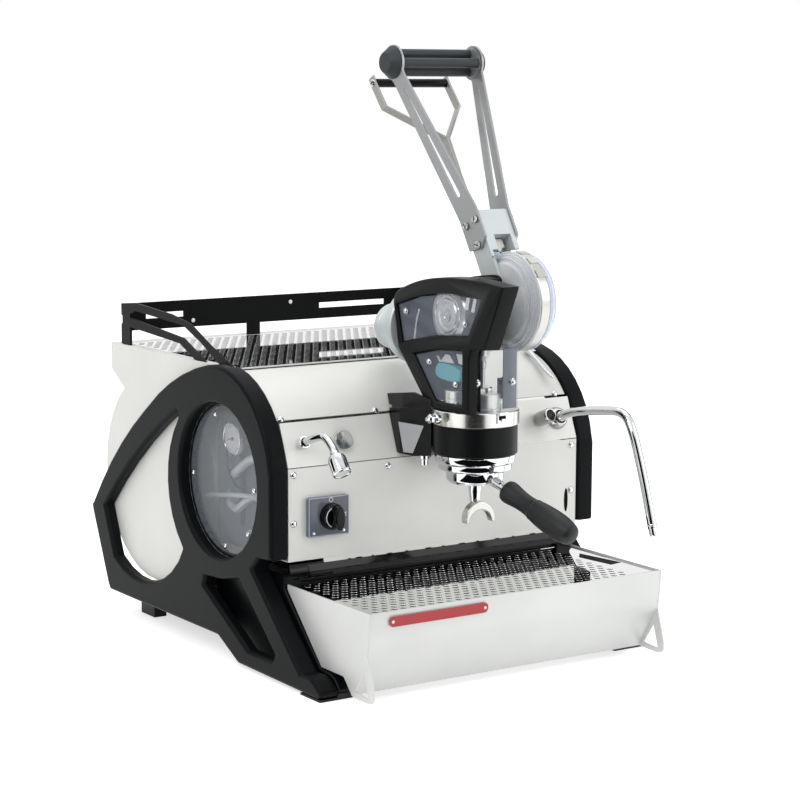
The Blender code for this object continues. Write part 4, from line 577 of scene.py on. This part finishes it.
# Notched wheel on the lever's hub
wheel = {"teeth": (-8, 12, 32, 52), "tooth": ((51.6, 92.4, 531), (64.6, 103.6, 536.3)),
         "rim": [(0, -42), (7.4, -42), (7.9, -41.4), (7.9, 51.6), (26, 51.6), (27, 54), (56, 54), (57, 51.2),
             (62.6, 51.2), (63.4, 52), (63.4, 64.2), (62.6, 65), (57, 65), (7.9, 64.2), (7.9, 80.6), (7.4, 81.2),
             (0, 81.2)]}
newPiece([spun(wheel["rim"], leverPivot, rightward, 128)]
         + [turned(block(*wheel["tooth"]), angle, "X", leverPivot) for angle in wheel["teeth"]],
         "notchedWheel", "wheelSteel", "notched_wheel", smooth=28)
lugs = [(40, 111.4, 529.6), (40, 77.4, 419.0)]
lugShape = [(0, 9), (2.4, 9), (3.6, 8), (4.2, 6.6), (4.2, 0), (0, 0)]
newPiece([spun(lugShape, place(*lug), leftward, 20) for lug in lugs], "drumLugs", "clearBlue", ("lever", "clear"))
discRing = {"radii": (13.5, 25.0), "wide": 1.8, "high": 0.7, "x": -41.5}
newPiece([spun([(r, 0), (r + discRing["wide"] / 2, discRing["high"]), (r + discRing["wide"], 0), (r, 0)],
               place(discRing["x"], 107, 458), leftward, 96) for r in discRing["radii"]],
         "discRings", "chrome", steelTrim)

# Behind the front glass, and the bolt of the ring
valveStem = [(0, 0), (3.4, 0), (3.4, 25), (5.0, 26), (5.0, 32), (3.8, 34), (8.5, 41), (8.5, 52), (0, 52)]
valveBase = [(0, 0), (21.5, 0), (21.5, 2.4), (20.6, 3), (20.6, 20.6), (19.6, 22), (0, 22)]
newPiece([spun(valveStem, place(-3, 84, 366)), spun(valveBase, place(0, 84, 338.6))],
         "valveRod", "discSilver", steelTrim, smooth=24)
boltShank = [(0, -8), (2.6, -8), (2.6, 6), (0, 6)]
boltFoot = [(0, -13), (4.6, -13), (5.4, -12), (5.4, -5), (6.8, -4), (6.8, 0), (0, 0)]
newPiece([spun(boltShank, place(-74, 95, 331), leftward, 20), head(place(-72.4, 95, 331), leftward, 6.4, 8.2, "nut"),
          head(place(-63.0, 95, 331), leftward, 7.2, 6.0, "pan"), spun(boltFoot, place(-67, 119, 281), steps=24)],
         "ringBolt", "chrome", steelTrim, smooth=26)

# Portafilter: cup, neck and a crescent of two spouts
cup = {"shape": [(0, 260.1), (36.4, 260.1), (37, 259.5), (37, 249.2), (36.2, 246.4), (34.4, 245.6), (33.6, 245.0),
        (33.6, 243.8), (32.8, 243.4), (12, 243.0), (9.6, 241.8), (8.8, 239), (7.8, 231), (6.6, 222), (6.0, 216),
        (0, 215.4)],
       "outer": ((0, 197.5), (22.0, 22.0), range(-16, 197, 8)),
       "inner": ((0, 190.6), (18.6, 18.6), range(174, 5, -8)),
       "arch": (89, 101)}
arch = slab(ovalPoints(*cup["outer"]) + ovalPoints(*cup["inner"]), *cup["arch"], "Y")
newPiece(arch, "spoutArch", "archSteel", ("portafilter", "chrome"), 0.9, 30)
span = (grip["from"] - grip["reach"]) / math.cos(drop)
neckShape = [(0, -14), (7.0, -14), (7.0, span * 0.35), (6.2, span * 0.5), (6.2, span - 2), (9.5, span - 1.6),
             (9.5, span), (0, span)]
neckLift = grip["height"] + (grip["start"] - grip["reach"]) * math.tan(drop)
neckSpot = groupAxis + gripFlat * grip["reach"] * mm + Vector((0, 0, neckLift * mm))
newPiece([spun(cup["shape"], groupAxis, steps=96), spun(neckShape, neckSpot, gripAim, 48)],
         "portafilterBody", "chrome", "portafilter", 0.7, 34)

# Lever grip: three bars between two caps, with washers at the arms
leverGrip = {"ring": 13.0, "angles": (180, 62, -62), "bar": [(0, -5.4), (6.4, -5.4), (6.4, 115.4), (0, 115.4)],
             "leftCap": [(0, 10.4), (21.4, 10.4), (21.4, 11.6), (13.6, 22.4), (12.8, 23.2), (0, 23.4)],
             "rightCap": [(0, 120.4), (21.4, 120.4), (21.4, 121.4), (17, 126.2), (0, 126.2)],
             "washer": 20.6, "washers": (-5.9, 115.4), "washerThick": 0.5}
bars = ovalPoints((0, 0), (leverGrip["ring"], leverGrip["ring"]), leverGrip["angles"])
newPiece([spun(leverGrip["bar"], gripPivot + Vector((0, back, up)) * mm, rightward, 32) for back, up in bars]
         + [spun(leverGrip["leftCap"], gripPivot, leftward, 72),
            spun(leverGrip["rightCap"], gripPivot, rightward, 72)],
         "leverGrip", "barGrey", "lever_grip", smooth=30)
washer, thick = leverGrip["washer"], leverGrip["washerThick"]
newPiece([spun([(0, x), (washer, x), (washer, x + thick), (0, x + thick)], gripPivot, rightward)
          for x in leverGrip["washers"]], "gripWashers", "brushedArm", ("lever", "aluminium"))

# Steam wand: a ball, a long bend and a tip
wand = {"out": 11.6, "drift": 6, "span": 199, "ahead": 10.82, "pipe": 6.2, "starts": (6.4, 12.8), "tip": (4, 16),
        "run": [(45, 10.9), (100, 18.8), (133, 19.4), (152, 4.0), (174, -48.4), (196, -116.7)],
        "tipShape": [(0, 1), (3.6, 1), (5.0, 0.2), (5.7, -1.6), (5.8, -11.6), (6.1, -12.2), (6.5, -12.6),
            (6.5, -14.6), (6.2, -15.2), (0, -15.2)]}
wandStart = onPanel(tapRow["wand"], tapRow["high"], wand["out"])
wandRoute = [wandStart] + [wandStart + panelOut * out * mm for out in wand["starts"]]
wandRoute += [wandStart + Vector((wand["drift"] * reach / wand["span"], wand["ahead"] - reach, high)) * mm
              for reach, high in wand["run"]]
wandEnd, tipAim = wandRoute[-1], (wandRoute[-1] - wandRoute[-2]).normalized()
newPiece([bent(wandRoute + [wandEnd + tipAim * wand["tip"][0] * mm], wand["pipe"], 10, 6),
          spun(ball, wandStart, panelOut, 40),
          spun(wand["tipShape"], wandEnd + tipAim * wand["tip"][1] * mm, tipAim, 40)],
         "steamWand", "chrome", "steam_wand")
spoutRoute = [spoutStart, spoutStart + panelOut * spout["straight"] * mm, spoutStart + Vector(spout["bend"]) * mm,
              spoutTop + spoutLift * spout["straight"] * mm, spoutTop - spoutLift * spout["end"] * mm]
newPiece([bent(spoutRoute, spout["pipe"], 10, 6), spun(spoutBall, spoutStart, panelOut, 32),
          spun(nozzleShape, spoutTop + spoutLift * spout["nozzle"] * mm, spoutLift)],
         "waterSpout", "chrome", "water_spout", smooth=30)
print("head, group, lever and taps made")

# Screw heads: finish, owner, and for each set its kind, axis, radius, height and places
armHead, bailHead = (5.0, 2.6), (5.2, 1.6)
armScrews = [(145.7, 573.5), (164.8, 563.1), (138.5, 541.4)]
bailScrews = {"y": 336, "z": 744.6, "left": -5.5, "right": 115.5}
paneScrews = [(348.7, 318.3), (409.7, 232.4), (248.9, 232.3), (324.0, 147.5), (265.1, 172.7)]
windowScrews = [(191.1, 456.4), (61.3, 451.7), (138.0, 396.8), (80.0, 374.2)]
screwRows = {
    "drumLugScrews": ("chrome", leverSteel, [("dome", leftward, 2.1, 1.2, [(x - 9, y, z) for x, y, z in lugs])]),
    "windowScrews": ("chrome", steelTrim, [
        ("acorn", leftward, 4.3, 5.2, [(-45.9, y, z) for y, z in windowScrews]),
        ("pan", upward, 6.0, 2.6, [(-38, 118, 347.6), (-38, 89, 348.4)])]),
    "glassScrews": ("chrome", steelTrim, [("acorn", forward, 4.4, 5.4, [(-33.3, 54.4, 377.8), (17.5, 49.8, 376.8)])]),
    "upperScrews": ("chrome", steelTrim, [
        ("dome", (0, -0.794, 0.607), 4.8, 3.0, [(x, 212.8, 327) for x in (-221.5, -80, 211)])]),
    "lowerScrews": ("chrome", steelTrim, [("dome", forward, 4.8, 3.0, [
        (x, 184.5, z) for x, z in ((-220, 260), (-79, 259), (219, 260), (-220, 198), (219, 198))])]),
    "switchScrews": ("chrome", steelTrim, [
        ("dome", forward, 2.2, 0.8, [(x, 176.2, 184.4) for x in (-195.2, -150.8)])]),
    "paneScrews": ("chrome", steelTrim, [("dome", leftward, 3.6, 2.4, [(-239.4, y, z) for y, z in paneScrews])]),
    "armScrews": ("wheelSteel", leverSteel, [
        ("pan", leftward, *armHead, [(27, y, z) for y, z in armScrews]),
        ("pan", rightward, *armHead, [(83, y, z) for y, z in armScrews])]),
    "bailScrews": ("satinSteel", ("bail", "steel"), [
        ("pan", leftward, *bailHead, [(bailScrews["left"], bailScrews["y"], bailScrews["z"])]),
        ("pan", rightward, *bailHead, [(bailScrews["right"], bailScrews["y"], bailScrews["z"])])]),
    "badgeScrews": ("paleGrey", steelTrim, [
        ("dome", forward, 2.1, 1.0, [(x, -1.9, 107.6) for x in (-193.4, -57.6)])]),
    "railScrews": ("paleGrey", steelTrim, [("dome", forward, 3.4, 1.8, [(-125, 618.6, 409), (36, 618.6, 427)])]),
}
for name, (finish, owner, sets) in screwRows.items():
    newPiece([head(place(*spot), axis, radius, high, kind) for kind, axis, radius, high, spots in sets
              for spot in spots], name, finish, owner)
newPiece([slotBar(place(x, y, z), axis, *armHead, step * k)
          for x, axis, step in ((27, leftward, 40), (83, rightward, 70)) for k, (y, z) in enumerate(armScrews)],
         "armScrewSlots", "darkGap", leverSteel)
newPiece([slotBar(place(x, bailScrews["y"], bailScrews["z"]), axis, 4.2, 1.6, angle)
          for x, axis in ((bailScrews["left"], leftward), (bailScrews["right"], rightward)) for angle in (30, 120)],
         "bailScrewSlots", "darkGap", ("bail", "steel"))

# Flat pieces: finish, owner, bevel, way of their thickness, and outlines with their two sides
topRun = eased([(214, 464), (206, 480.5), (160, 496.4), (104, 503.8), (84, 502.6)])
rightTop = eased([(218, 468), (207, 482), (160, 498), (100, 506.5), (86, 503)])
scoopRun = eased([(161, 137), (164, 132.6), (170, 130.6), (176.6, 132.6), (181.6, 138.6), (183.8, 146.4)], 5)
slitAngles = range(0, 360, 15)
sheets = {
    "headCoverRight": ("coverBlack", "head_cover_right", 1.4, "X", [
        ([(86, 426), (127, 420), (131, 400), (131, 339), (138, 339), (206, 408)] + rightTop + [(80, 490), (80, 440)],
         22.2, 27.2)]),
    "headTop": ("coverBlack", darkSheet, 0.0, "X", [(topRun + [(y, z - 4) for y, z in reversed(topRun)], -25, 22.2)]),
    "headLining": ("insideBlack", darkSheet, 0.0, "X", [
        ([(52, 341), (136, 341), (203, 408), (213, 468), (203, 478), (158, 495), (100, 503), (30, 503.5), (-15, 499),
            (-9, 488), (21, 426), (49, 424), (53, 408)], -29.4, -28.6)]),
    "headStrips": ("satinSteel", steelTrim, 0.4, "X", [
        ([(71, 468), (67, 484), (60, 484), (63, 468)], -41, -39),
        ([(58, 466), (52, 484), (46, 484), (50, 466)], -41, -39),
        ([(184, 421), (178, 448), (172, 462), (169, 460), (175, 446), (180, 421)], -41, -39)]),
    "valveCap": ("tealCap", paleTrim, 1.2, "X", [
        ([(135.5, 383.5), (133, 379.5), (126, 376.6), (106, 374.6), (88, 375.4), (81.5, 377.6), (80.5, 390.4),
            (92, 394.8), (112, 396.6), (128, 396.2), (134, 390)], -40.5, -30)]),
    "valveFrame": ("paleGrey", paleTrim, 0.4, "X", [
        ([(116, 408), (107, 408), (97, 398), (128, 397)], -38, -37),
        ([(93, 411), (79, 411), (79, 398), (87, 399)], -38, -33),
        ([(136, 404), (132, 404), (126, 397.5), (129, 396.5)], -38, -36)]),
    # a dark oval where the panel has a slot: painted shade inside it
    "panelSlot": ("darkGap", darkTrim, 0.0, "Y", [
        (ovalPoints((211, 185), (3.0, 16), slitAngles), 184.1, 184.7)]),
    # a dark patch where the grill has a slot: painted shade inside it
    "grillSlot": ("darkGap", ("grill", "black_paint"), 0.0, "Z", [
        ([(205, 145), (190, 127), (197, 68), (217, 72)], 118.2, 118.5)]),
    "gutterPlate": ("glossBlack", "gutter", 0.2, "X", [
        ([(170, 130.6), (169.4, 131.4), (179, 135.9), (183.2, 144.2), (190.5, 144.2), (190.5, 143.2), (184.2, 143.2),
            (180, 134.8), (171, 130.6)], -200, 200)]),
    "gutterScoop": ("glossBlack", darkTrim, 0.2, "X", [
        (scoopRun + [(y + 0.9, z - 0.6) for y, z in reversed(scoopRun)], -227, -176)]),
    "panelLip": ("bodySteel", steelTrim, 0.0, "X", [
        ([(184.4, 149.6), (183.9, 144.4), (183.1, 143.6), (183.0, 143.4), (184.3, 143.4), (185.2, 149.6)],
         -176, 227)]),
}
for name, (finish, owner, bevel, way, forms) in sheets.items():
    newPiece([slab(outline, low, high, way) for outline, low, high in forms], name, finish, owner, bevel)
knobGrip = ovalPoints((switchAt["x"], switchAt["z"]), switchAt["knob"], slitAngles)
newPiece(slab(knobGrip, switchAt["knobFront"], switchAt["knobBack"], "Y"), "switchBar", "glossBlack", "switch_knob",
         2.0, 30)
# A thin grey sheet on one facet of the black neck, a painted reflection of the light on that facet
neckGlintSheet = {"shape": [(181.5, 315.5), (141, 314), (158, 277), (173, 277)], "thick": 0.5, "turn": 18.9,
             "about": (0, 180, 300), "left": -64.7}
glintSheet = turned(slab(neckGlintSheet["shape"], 0, neckGlintSheet["thick"]), neckGlintSheet["turn"], "Z", place(*neckGlintSheet["about"]))
bmesh.ops.translate(glintSheet, vec=Vector((neckGlintSheet["left"], 0, 0)) * mm, verts=glintSheet.verts)
newPiece(glintSheet, "neckGlintSheet", "neckPaintedGlint", darkTrim)
pawl = {"sides": (92, 106), "recess": ((42, 107, 537), (68, 109, 559)),
        "shape": [(46, 543), (46, 555), (49, 558), (62, 558), (65, 555), (65, 545), (60, 544), (57, 539.5),
            (53, 539.5), (51, 544)]}
newPiece(turned(slab(pawl["shape"], *pawl["sides"], "Y"), leverLean, "X", leverPivot), "pawl", "wheelSteel",
         leverSteel, 0.8)
# A dark block in the recess behind the pawl: painted shade
newPiece(turned(block(*pawl["recess"]), leverLean, "X", leverPivot), "pawlRecess", "darkGap", leverSteel)

# Boxes: finish, owner, bevel and corners
lipMarks = ((-140, 4), (-128, 9), (-104, 3), (-80, 7), (-52, 4), (-20, 8), (6, 3), (33, 9), (61, 4), (92, 6),
            (120, 3), (150, 8))
boxes = {
    "glassShade": ("smokyGrey", darkSheet, 0.3, [
        ((13, 62, 341), (34, 63.4, 418)), ((10.5, 70, 353), (24, 71.5, 379.5))]),
    "glassBracket": ("insideBlack", darkSheet, 0.4, [
        ((10.4, 66, 371), (15, 68, 378)), ((15, 66, 353), (18, 68, 381))]),
    "ringClip": ("satinSteel", steelTrim, 0.4, [
        ((-7, 45.9, 325.6), (11, 47.4, 339.4)), ((-1, 44.9, 327.6), (9, 46.2, 331.4)),
        ((-5, 44.6, 335.4), (6, 46.2, 339.0))]),
    # a dark box in the clip's hole: painted shade inside it
    "ringClipHole": ("darkGap", darkSheet, 0.2, [((-4.6, 45.2, 329.8), (5.6, 46.6, 335.8))]),
    "switchBack": ("clearBlue", clearTrim, 0.3, [((-202.4, 183.4, 179.6), (-143.6, 184.4, 229.4))]),
    "wallRail": ("insideBlack", darkTrim, 0.6, [((-201, 346.6, 166), (-196.2, 352.2, 262))]),
    "deckPlate": ("grillSteel", steelTrim, 0.0, [((-226, 306, 382.25), (226, 619, 382.45))]),
    "lipMarks": ("darkGap", darkTrim, 0.0, [
        ((x, 182.4, 143.8), (x + wide, 183.3, 145.2)) for x, wide in lipMarks]),
}
for name, (finish, owner, bevel, corners) in boxes.items():
    newPiece([block(low, high) for low, high in corners], name, finish, owner, bevel)

# Rotary switch: plate marks, pale rims that paint highlights along the plate's edges, and a pale arc that paints a
# highlight on the knob
marks = {"ring": [(2.3, 0), (3.1, 0), (3.1, 0.3), (2.3, 0.3), (2.3, 0)], "ringAt": (-170, 176.3, 225.4),
         "bars": [((-148.6, 175.9, 202.0), (-147.6, 176.4, 208.0)), ((-149.8, 175.9, 206.2), (-148.6, 176.4, 207.2))]}
newPiece([spun(marks["ring"], place(*marks["ringAt"]), forward, 24)] + [block(*bar) for bar in marks["bars"]],
         "switchMarks", "paleGrey", paleTrim)
# Thin pale bars round both faces of the plate: painted highlights on its bevelled edges
rim = {"thick": 0.8, "layers": (176.6, 180.4),
       "corners": [(-202, 180), (-144, 180), (-144, 229), (-202, 229), (-202, 180)]}
newPiece([bent([place(x, y, z) for x, z in pair], rim["thick"], 4, 2) for y in rim["layers"]
          for pair in zip(rim["corners"], rim["corners"][1:])], "switchEdgeGlint", "paintedEdgeGlint", clearTrim)
# A pale arc along the left of the knob base's front edge: a painted highlight
arc = ovalPoints((switchAt["x"], switchAt["z"]), (switchAt["arc"], switchAt["arc"]), range(115, 246, 10))
newPiece(bent([place(x, switchAt["arcFront"], z) for x, z in arc], switchAt["arcThick"], 3, 2), "switchKnobGlint",
         "paleGrey", ("switch", "light_grey"))

# Pressure gauge's scale and hand
gauge = {"marks": 17, "start": -225, "sweep": 270, "major": 4, "far": 18.6, "near": {True: 15.2, False: 16.6},
         "tick": (-214.15, -213.8), "half": 0.4, "hand": ((-214.6, 348.4, 280), (-214.2, 349.6, 296)), "turn": -100,
         "hub": [(0, 18.6), (2.2, 18.6), (2.4, 17.5), (0, 17.5)]}
ticks = []
for k in range(gauge["marks"]):
    near = gauge["near"][k % gauge["major"] == 0]
    tick = block((gauge["tick"][0], gaugeAt[0] - gauge["half"], gaugeAt[1] + near),
                 (gauge["tick"][1], gaugeAt[0] + gauge["half"], gaugeAt[1] + gauge["far"]))
    ticks.append(turned(tick, gauge["start"] + gauge["sweep"] * k / (gauge["marks"] - 1), "X", gaugeSpot))
newPiece(ticks, "gaugeTicks", "darkGap", darkSheet)
newPiece([turned(block(*gauge["hand"]), gauge["turn"], "X", gaugeSpot), spun(gauge["hub"], gaugeSpot, leftward, 24)],
         "gaugeHand", "redEnamel", ("machine", "red_plate"))

# Hoses and fittings behind the left pane, and the seats of both panes
hoses = {
    "hoseWide": ("hoseSilver", 6.3, [(-200, 368, 232), (-206, 354, 237), (-206, 332.5, 250.5), (-206, 310.5, 261),
        (-203, 290, 267.5), (-199, 276, 270)]),
    "hoseLong": ("hoseSilver", 3.4, [(-200, 440, 190), (-209, 430, 194.5), (-210, 404.5, 199.5), (-217, 368, 206),
        (-219, 346, 209.5), (-217, 317, 213), (-207, 285, 213.4), (-200, 270, 213)]),
    "hoseLow": ("hoseSilver", 3.4, [(-200, 330, 160), (-206, 312, 164), (-206, 284, 166), (-206, 256, 160),
        (-200, 240, 152)]),
    "wireDark": ("insideBlack", 1.8, [(-199, 400, 300), (-207, 388, 290), (-207, 376, 262), (-210, 366, 236),
        (-207, 352, 220), (-200, 340, 214)]),
}
for name, (finish, radius, points) in hoses.items():
    newPiece(bent([place(*point) for point in points], radius), name, finish, ("machine", "aluminium"))
nuts = ((9, 368, 232), (9, 276, 270), (6, 270, 213), (6, 240, 152), (7, 378.6, 205), (7, 262, 172))
newPiece([spun([(0, 0), (size, 0), (size, 9), (size - 1, 10), (0, 10)], place(-195.5, y, z), leftward, 6)
          for size, y, z in nuts], "hoseNuts", "satinSteel", steelTrim)
seat = {"x": 239.9, "middle": (319, 236), "shape": [(98.9, 0), (101.2, 0), (101.2, 10), (98.9, 10), (98.9, 0)]}
newPiece([spun(seat["shape"], place(side * seat["x"], *seat["middle"]), (-side, 0, 0), 96) for side in (-1, 1)],
         "paneSeats", "insideBlack", ("machine", "rubber"))
print("panel, lever and hoses made")

# Grill and deck: rows of low hoods, each with a dark dish at its front that paints the shade inside the hood's
# opening
hoods = {"wide": 8.6, "deep": 5.0, "rise": 0.42, "top": (0.84, 0.70), "shift": -0.10, "lean": -30,
         "pitch": (13.6, 22.0)}
mouths = {"wide": hoods["wide"] * 0.85, "deep": 2.2, "rise": 0.3, "top": (1, 1), "shift": 0.0, "left": 1.0,
          "gap": 0.4}


# A low oval dish with its top drawn in
def dish(size):
    work = bmesh.new()
    base = bmesh.ops.create_circle(work, segments=12, radius=1, cap_ends=True)["verts"]
    bmesh.ops.scale(work, vec=(size["wide"] / 2 * mm, size["deep"] / 2 * mm, 1), verts=base)
    top = drawnOut(work, list(work.faces))
    bmesh.ops.scale(work, vec=(*size["top"], 1), verts=top)
    bmesh.ops.translate(work, vec=Vector((0, size["deep"] * size["shift"], size["rise"])) * mm, verts=top)
    turned(work, hoods["lean"], "Z")
    bmesh.ops.recalc_face_normals(work, faces=work.faces)
    return work


# Staggered rows of one form
def rows(name, size, finish, owner, first, counts):
    pair = []
    for share in (0, 0.5):
        form = dish(size)
        shifted = place(first[0] + hoods["pitch"][0] * share, first[1] + hoods["pitch"][1] * share, first[2])
        bmesh.ops.translate(form, vec=shifted, verts=form.verts)
        pair.append(form)
    piece = newPiece(pair, name, finish, owner, smooth=16)
    offsets = ((hoods["pitch"][0] * mm, 0, 0), (0, hoods["pitch"][1] * mm, 0))
    for count, offset in zip(counts, offsets):
        repeat = piece.modifiers.new("repeat", "ARRAY")
        repeat.count = count
        repeat.use_relative_offset = False
        repeat.use_constant_offset = True
        repeat.constant_offset_displace = offset


# Each area's body, its first hood's place and how many across and back
areas = {"grill": ("grill", (-208, 17, 118.3), (29, 8)), "deck": ("machine", (-217, 314, 382.3), (33, 14))}
ahead = hoods["deep"] / 2 + mouths["gap"]
for label, (body, (x, y, z), counts) in areas.items():
    rows(label + "Hoods", hoods, "grillSteel", (body, "steel"), (x, y, z), counts)
    rows(label + "Mouths", mouths, "darkGap", (body, "black_paint"), (x - mouths["left"], y - ahead, z), counts)
grill = {"corners": ((-223.6, 2.4, 116.3), (223.6, 199, 118.3)),
         "steps": ((2.6, 0), (0.5, -0.9), (1.6, 0), (0.5, 0.9))}
grillFace = block(*grill["corners"])
top = [face for face in grillFace.faces if face.normal.z > 0.5]
for thickness, depth in grill["steps"]:
    bmesh.ops.inset_region(grillFace, faces=top, thickness=thickness * mm, depth=depth * mm)
newPiece(grillFace, "grillPlate", "grillSteel", "drip_grill", 0.3)

# Tray badge, a bare plate with rounded ends
badge = {"left": -198, "right": -53, "low": 101.2, "high": 114.0, "front": -1.9, "back": -0.5, "tilt": 4.2,
         "round": 5.6}
corner = ovalPoints((0, 0), (badge["round"], badge["round"]), range(0, 91, 15))
inLeft, inRight = badge["left"] + badge["round"], badge["right"] - badge["round"]
inLow, inHigh = badge["low"] + badge["round"], badge["high"] - badge["round"]
plateShape = [(inRight + a, inHigh + b) for a, b in corner] + [(inLeft - b, inHigh + a) for a, b in corner]
plateShape += [(inLeft - a, inLow - b) for a, b in corner] + [(inRight + b, inLow - a) for a, b in corner]
plate = slab(plateShape, badge["front"], badge["back"], "Y")
newPiece(turned(plate, badge["tilt"], "X", place(0, badge["back"], (inLow + inHigh) / 2)), "badgePlate", "redEnamel",
         "badge_plate", 0.25)
print("grill and deck made")

# Light, floor and background
lamps = {
    "keyLamp": ((-2.6, -1.6, 2.4), 1.8, 34),
    "fillLamp": ((2.2, -2.4, 1.6), 1.8, 20),
    "topLamp": ((0.2, 0.3, 3.0), 2.4, 24),
}
lampAim = Vector((0, 0, 0.3))
studio = {"light": 0.78, "seen": 1.0, "floorGlow": 0.62, "floorGrey": 0.86, "floorHalf": 12,
          "cardBlack": (0.004, 0.004, 0.005)}
for name, (spot, size, power) in lamps.items():
    light = bpy.data.lights.new(name, "AREA")
    light.shape = "RECTANGLE"
    light.size = light.size_y = size
    light.energy = power
    item = bpy.data.objects.new(name, light)
    item.location = spot
    item.rotation_euler = (lampAim - Vector(spot)).to_track_quat("-Z", "Y").to_euler()
    bpy.context.scene.collection.objects.link(item)


# 1 for rays that come from the camera or by way of gloss and glass, 0 for the light on the object
def seenDirectly(tree):
    path = tree.nodes.new("ShaderNodeLightPath")
    seen = path.outputs["Is Camera Ray"]
    for other in ("Is Glossy Ray", "Is Transmission Ray"):
        larger = tree.nodes.new("ShaderNodeMath")
        larger.operation = "MAXIMUM"
        tree.links.new(seen, larger.inputs[0])
        tree.links.new(path.outputs[other], larger.inputs[1])
        seen = larger.outputs[0]
    return seen


def makeWorld():
    world = bpy.data.worlds.new("studio")
    world.use_nodes = True
    bpy.context.scene.world = world
    tree = world.node_tree
    plain = tree.nodes["Background"]
    plain.inputs["Color"].default_value = (1, 1, 1, 1)
    plain.inputs["Strength"].default_value = studio["light"]
    white = addNode(tree, "Background", {"Color": (1, 1, 1, 1), "Strength": studio["seen"]}, {})
    either = addNode(tree, "MixShader", {}, {"Fac": seenDirectly(tree)})
    tree.links.new(plain.outputs["Background"], either.inputs[1])
    tree.links.new(white.outputs["Background"], either.inputs[2])
    tree.links.new(either.outputs["Shader"], tree.nodes["World Output"].inputs["Surface"])


def makeFloor():
    work = bmesh.new()
    bmesh.ops.create_grid(work, x_segments=1, y_segments=1, size=studio["floorHalf"])
    paper, shader = newMaterial("floorPaper", {"Base Color": (*(studio["floorGrey"],) * 3, 1), "Roughness": 0.9,
                                               "Specular IOR Level": 0.0})
    tree = paper.node_tree
    shine = tree.nodes.new("ShaderNodeMath")
    shine.operation = "MULTIPLY"
    shine.inputs[1].default_value = studio["floorGlow"]
    tree.links.new(seenDirectly(tree), shine.inputs[0])
    glow = addNode(tree, "Emission", {}, {"Strength": shine.outputs[0]})
    both = tree.nodes.new("ShaderNodeAddShader")
    tree.links.new(shader.outputs["BSDF"], both.inputs[0])
    tree.links.new(glow.outputs["Emission"], both.inputs[1])
    tree.links.new(both.outputs["Shader"], tree.nodes["Material Output"].inputs["Surface"])
    floor = addObject(work, "floor", paper)


# Dark cards that only reflections see: centre, width and height; a low one lies flat
cards = [((-0.80, -1.25, 0.55), 1.3, 1.1), ((-0.52, -0.84, 0.003), 1.5, 0.9), ((1.75, 0.75, 0.7), 1.0, 1.4),
         ((-1.9, 1.1, 0.7), 1.0, 1.4)]


def makeCard(centre, width, high):
    work = bmesh.new()
    bmesh.ops.create_grid(work, x_segments=1, y_segments=1, size=0.5)
    bmesh.ops.scale(work, vec=(width, high, 1), verts=work.verts)
    if centre[2] < 0.1:
        turned(work, 90, "X")
    aim = Vector((centre[0], centre[1], 0)).normalized().to_track_quat("Z", "Y").to_matrix().to_4x4()
    bmesh.ops.transform(work, matrix=Matrix.Translation(centre) @ aim, verts=work.verts)
    dark = newMaterial("cardBlack", {"Base Color": (*studio["cardBlack"], 1), "Roughness": 1.0,
                                     "Specular IOR Level": 0.0})[0]
    card = addObject(work, "card", dark)
    card.visible_camera = card.visible_diffuse = card.visible_shadow = card.visible_transmission = False


makeWorld()
makeFloor()
for card in cards:
    makeCard(*card)
bpy.context.scene.view_settings.view_transform = "Standard"
print("stage set")
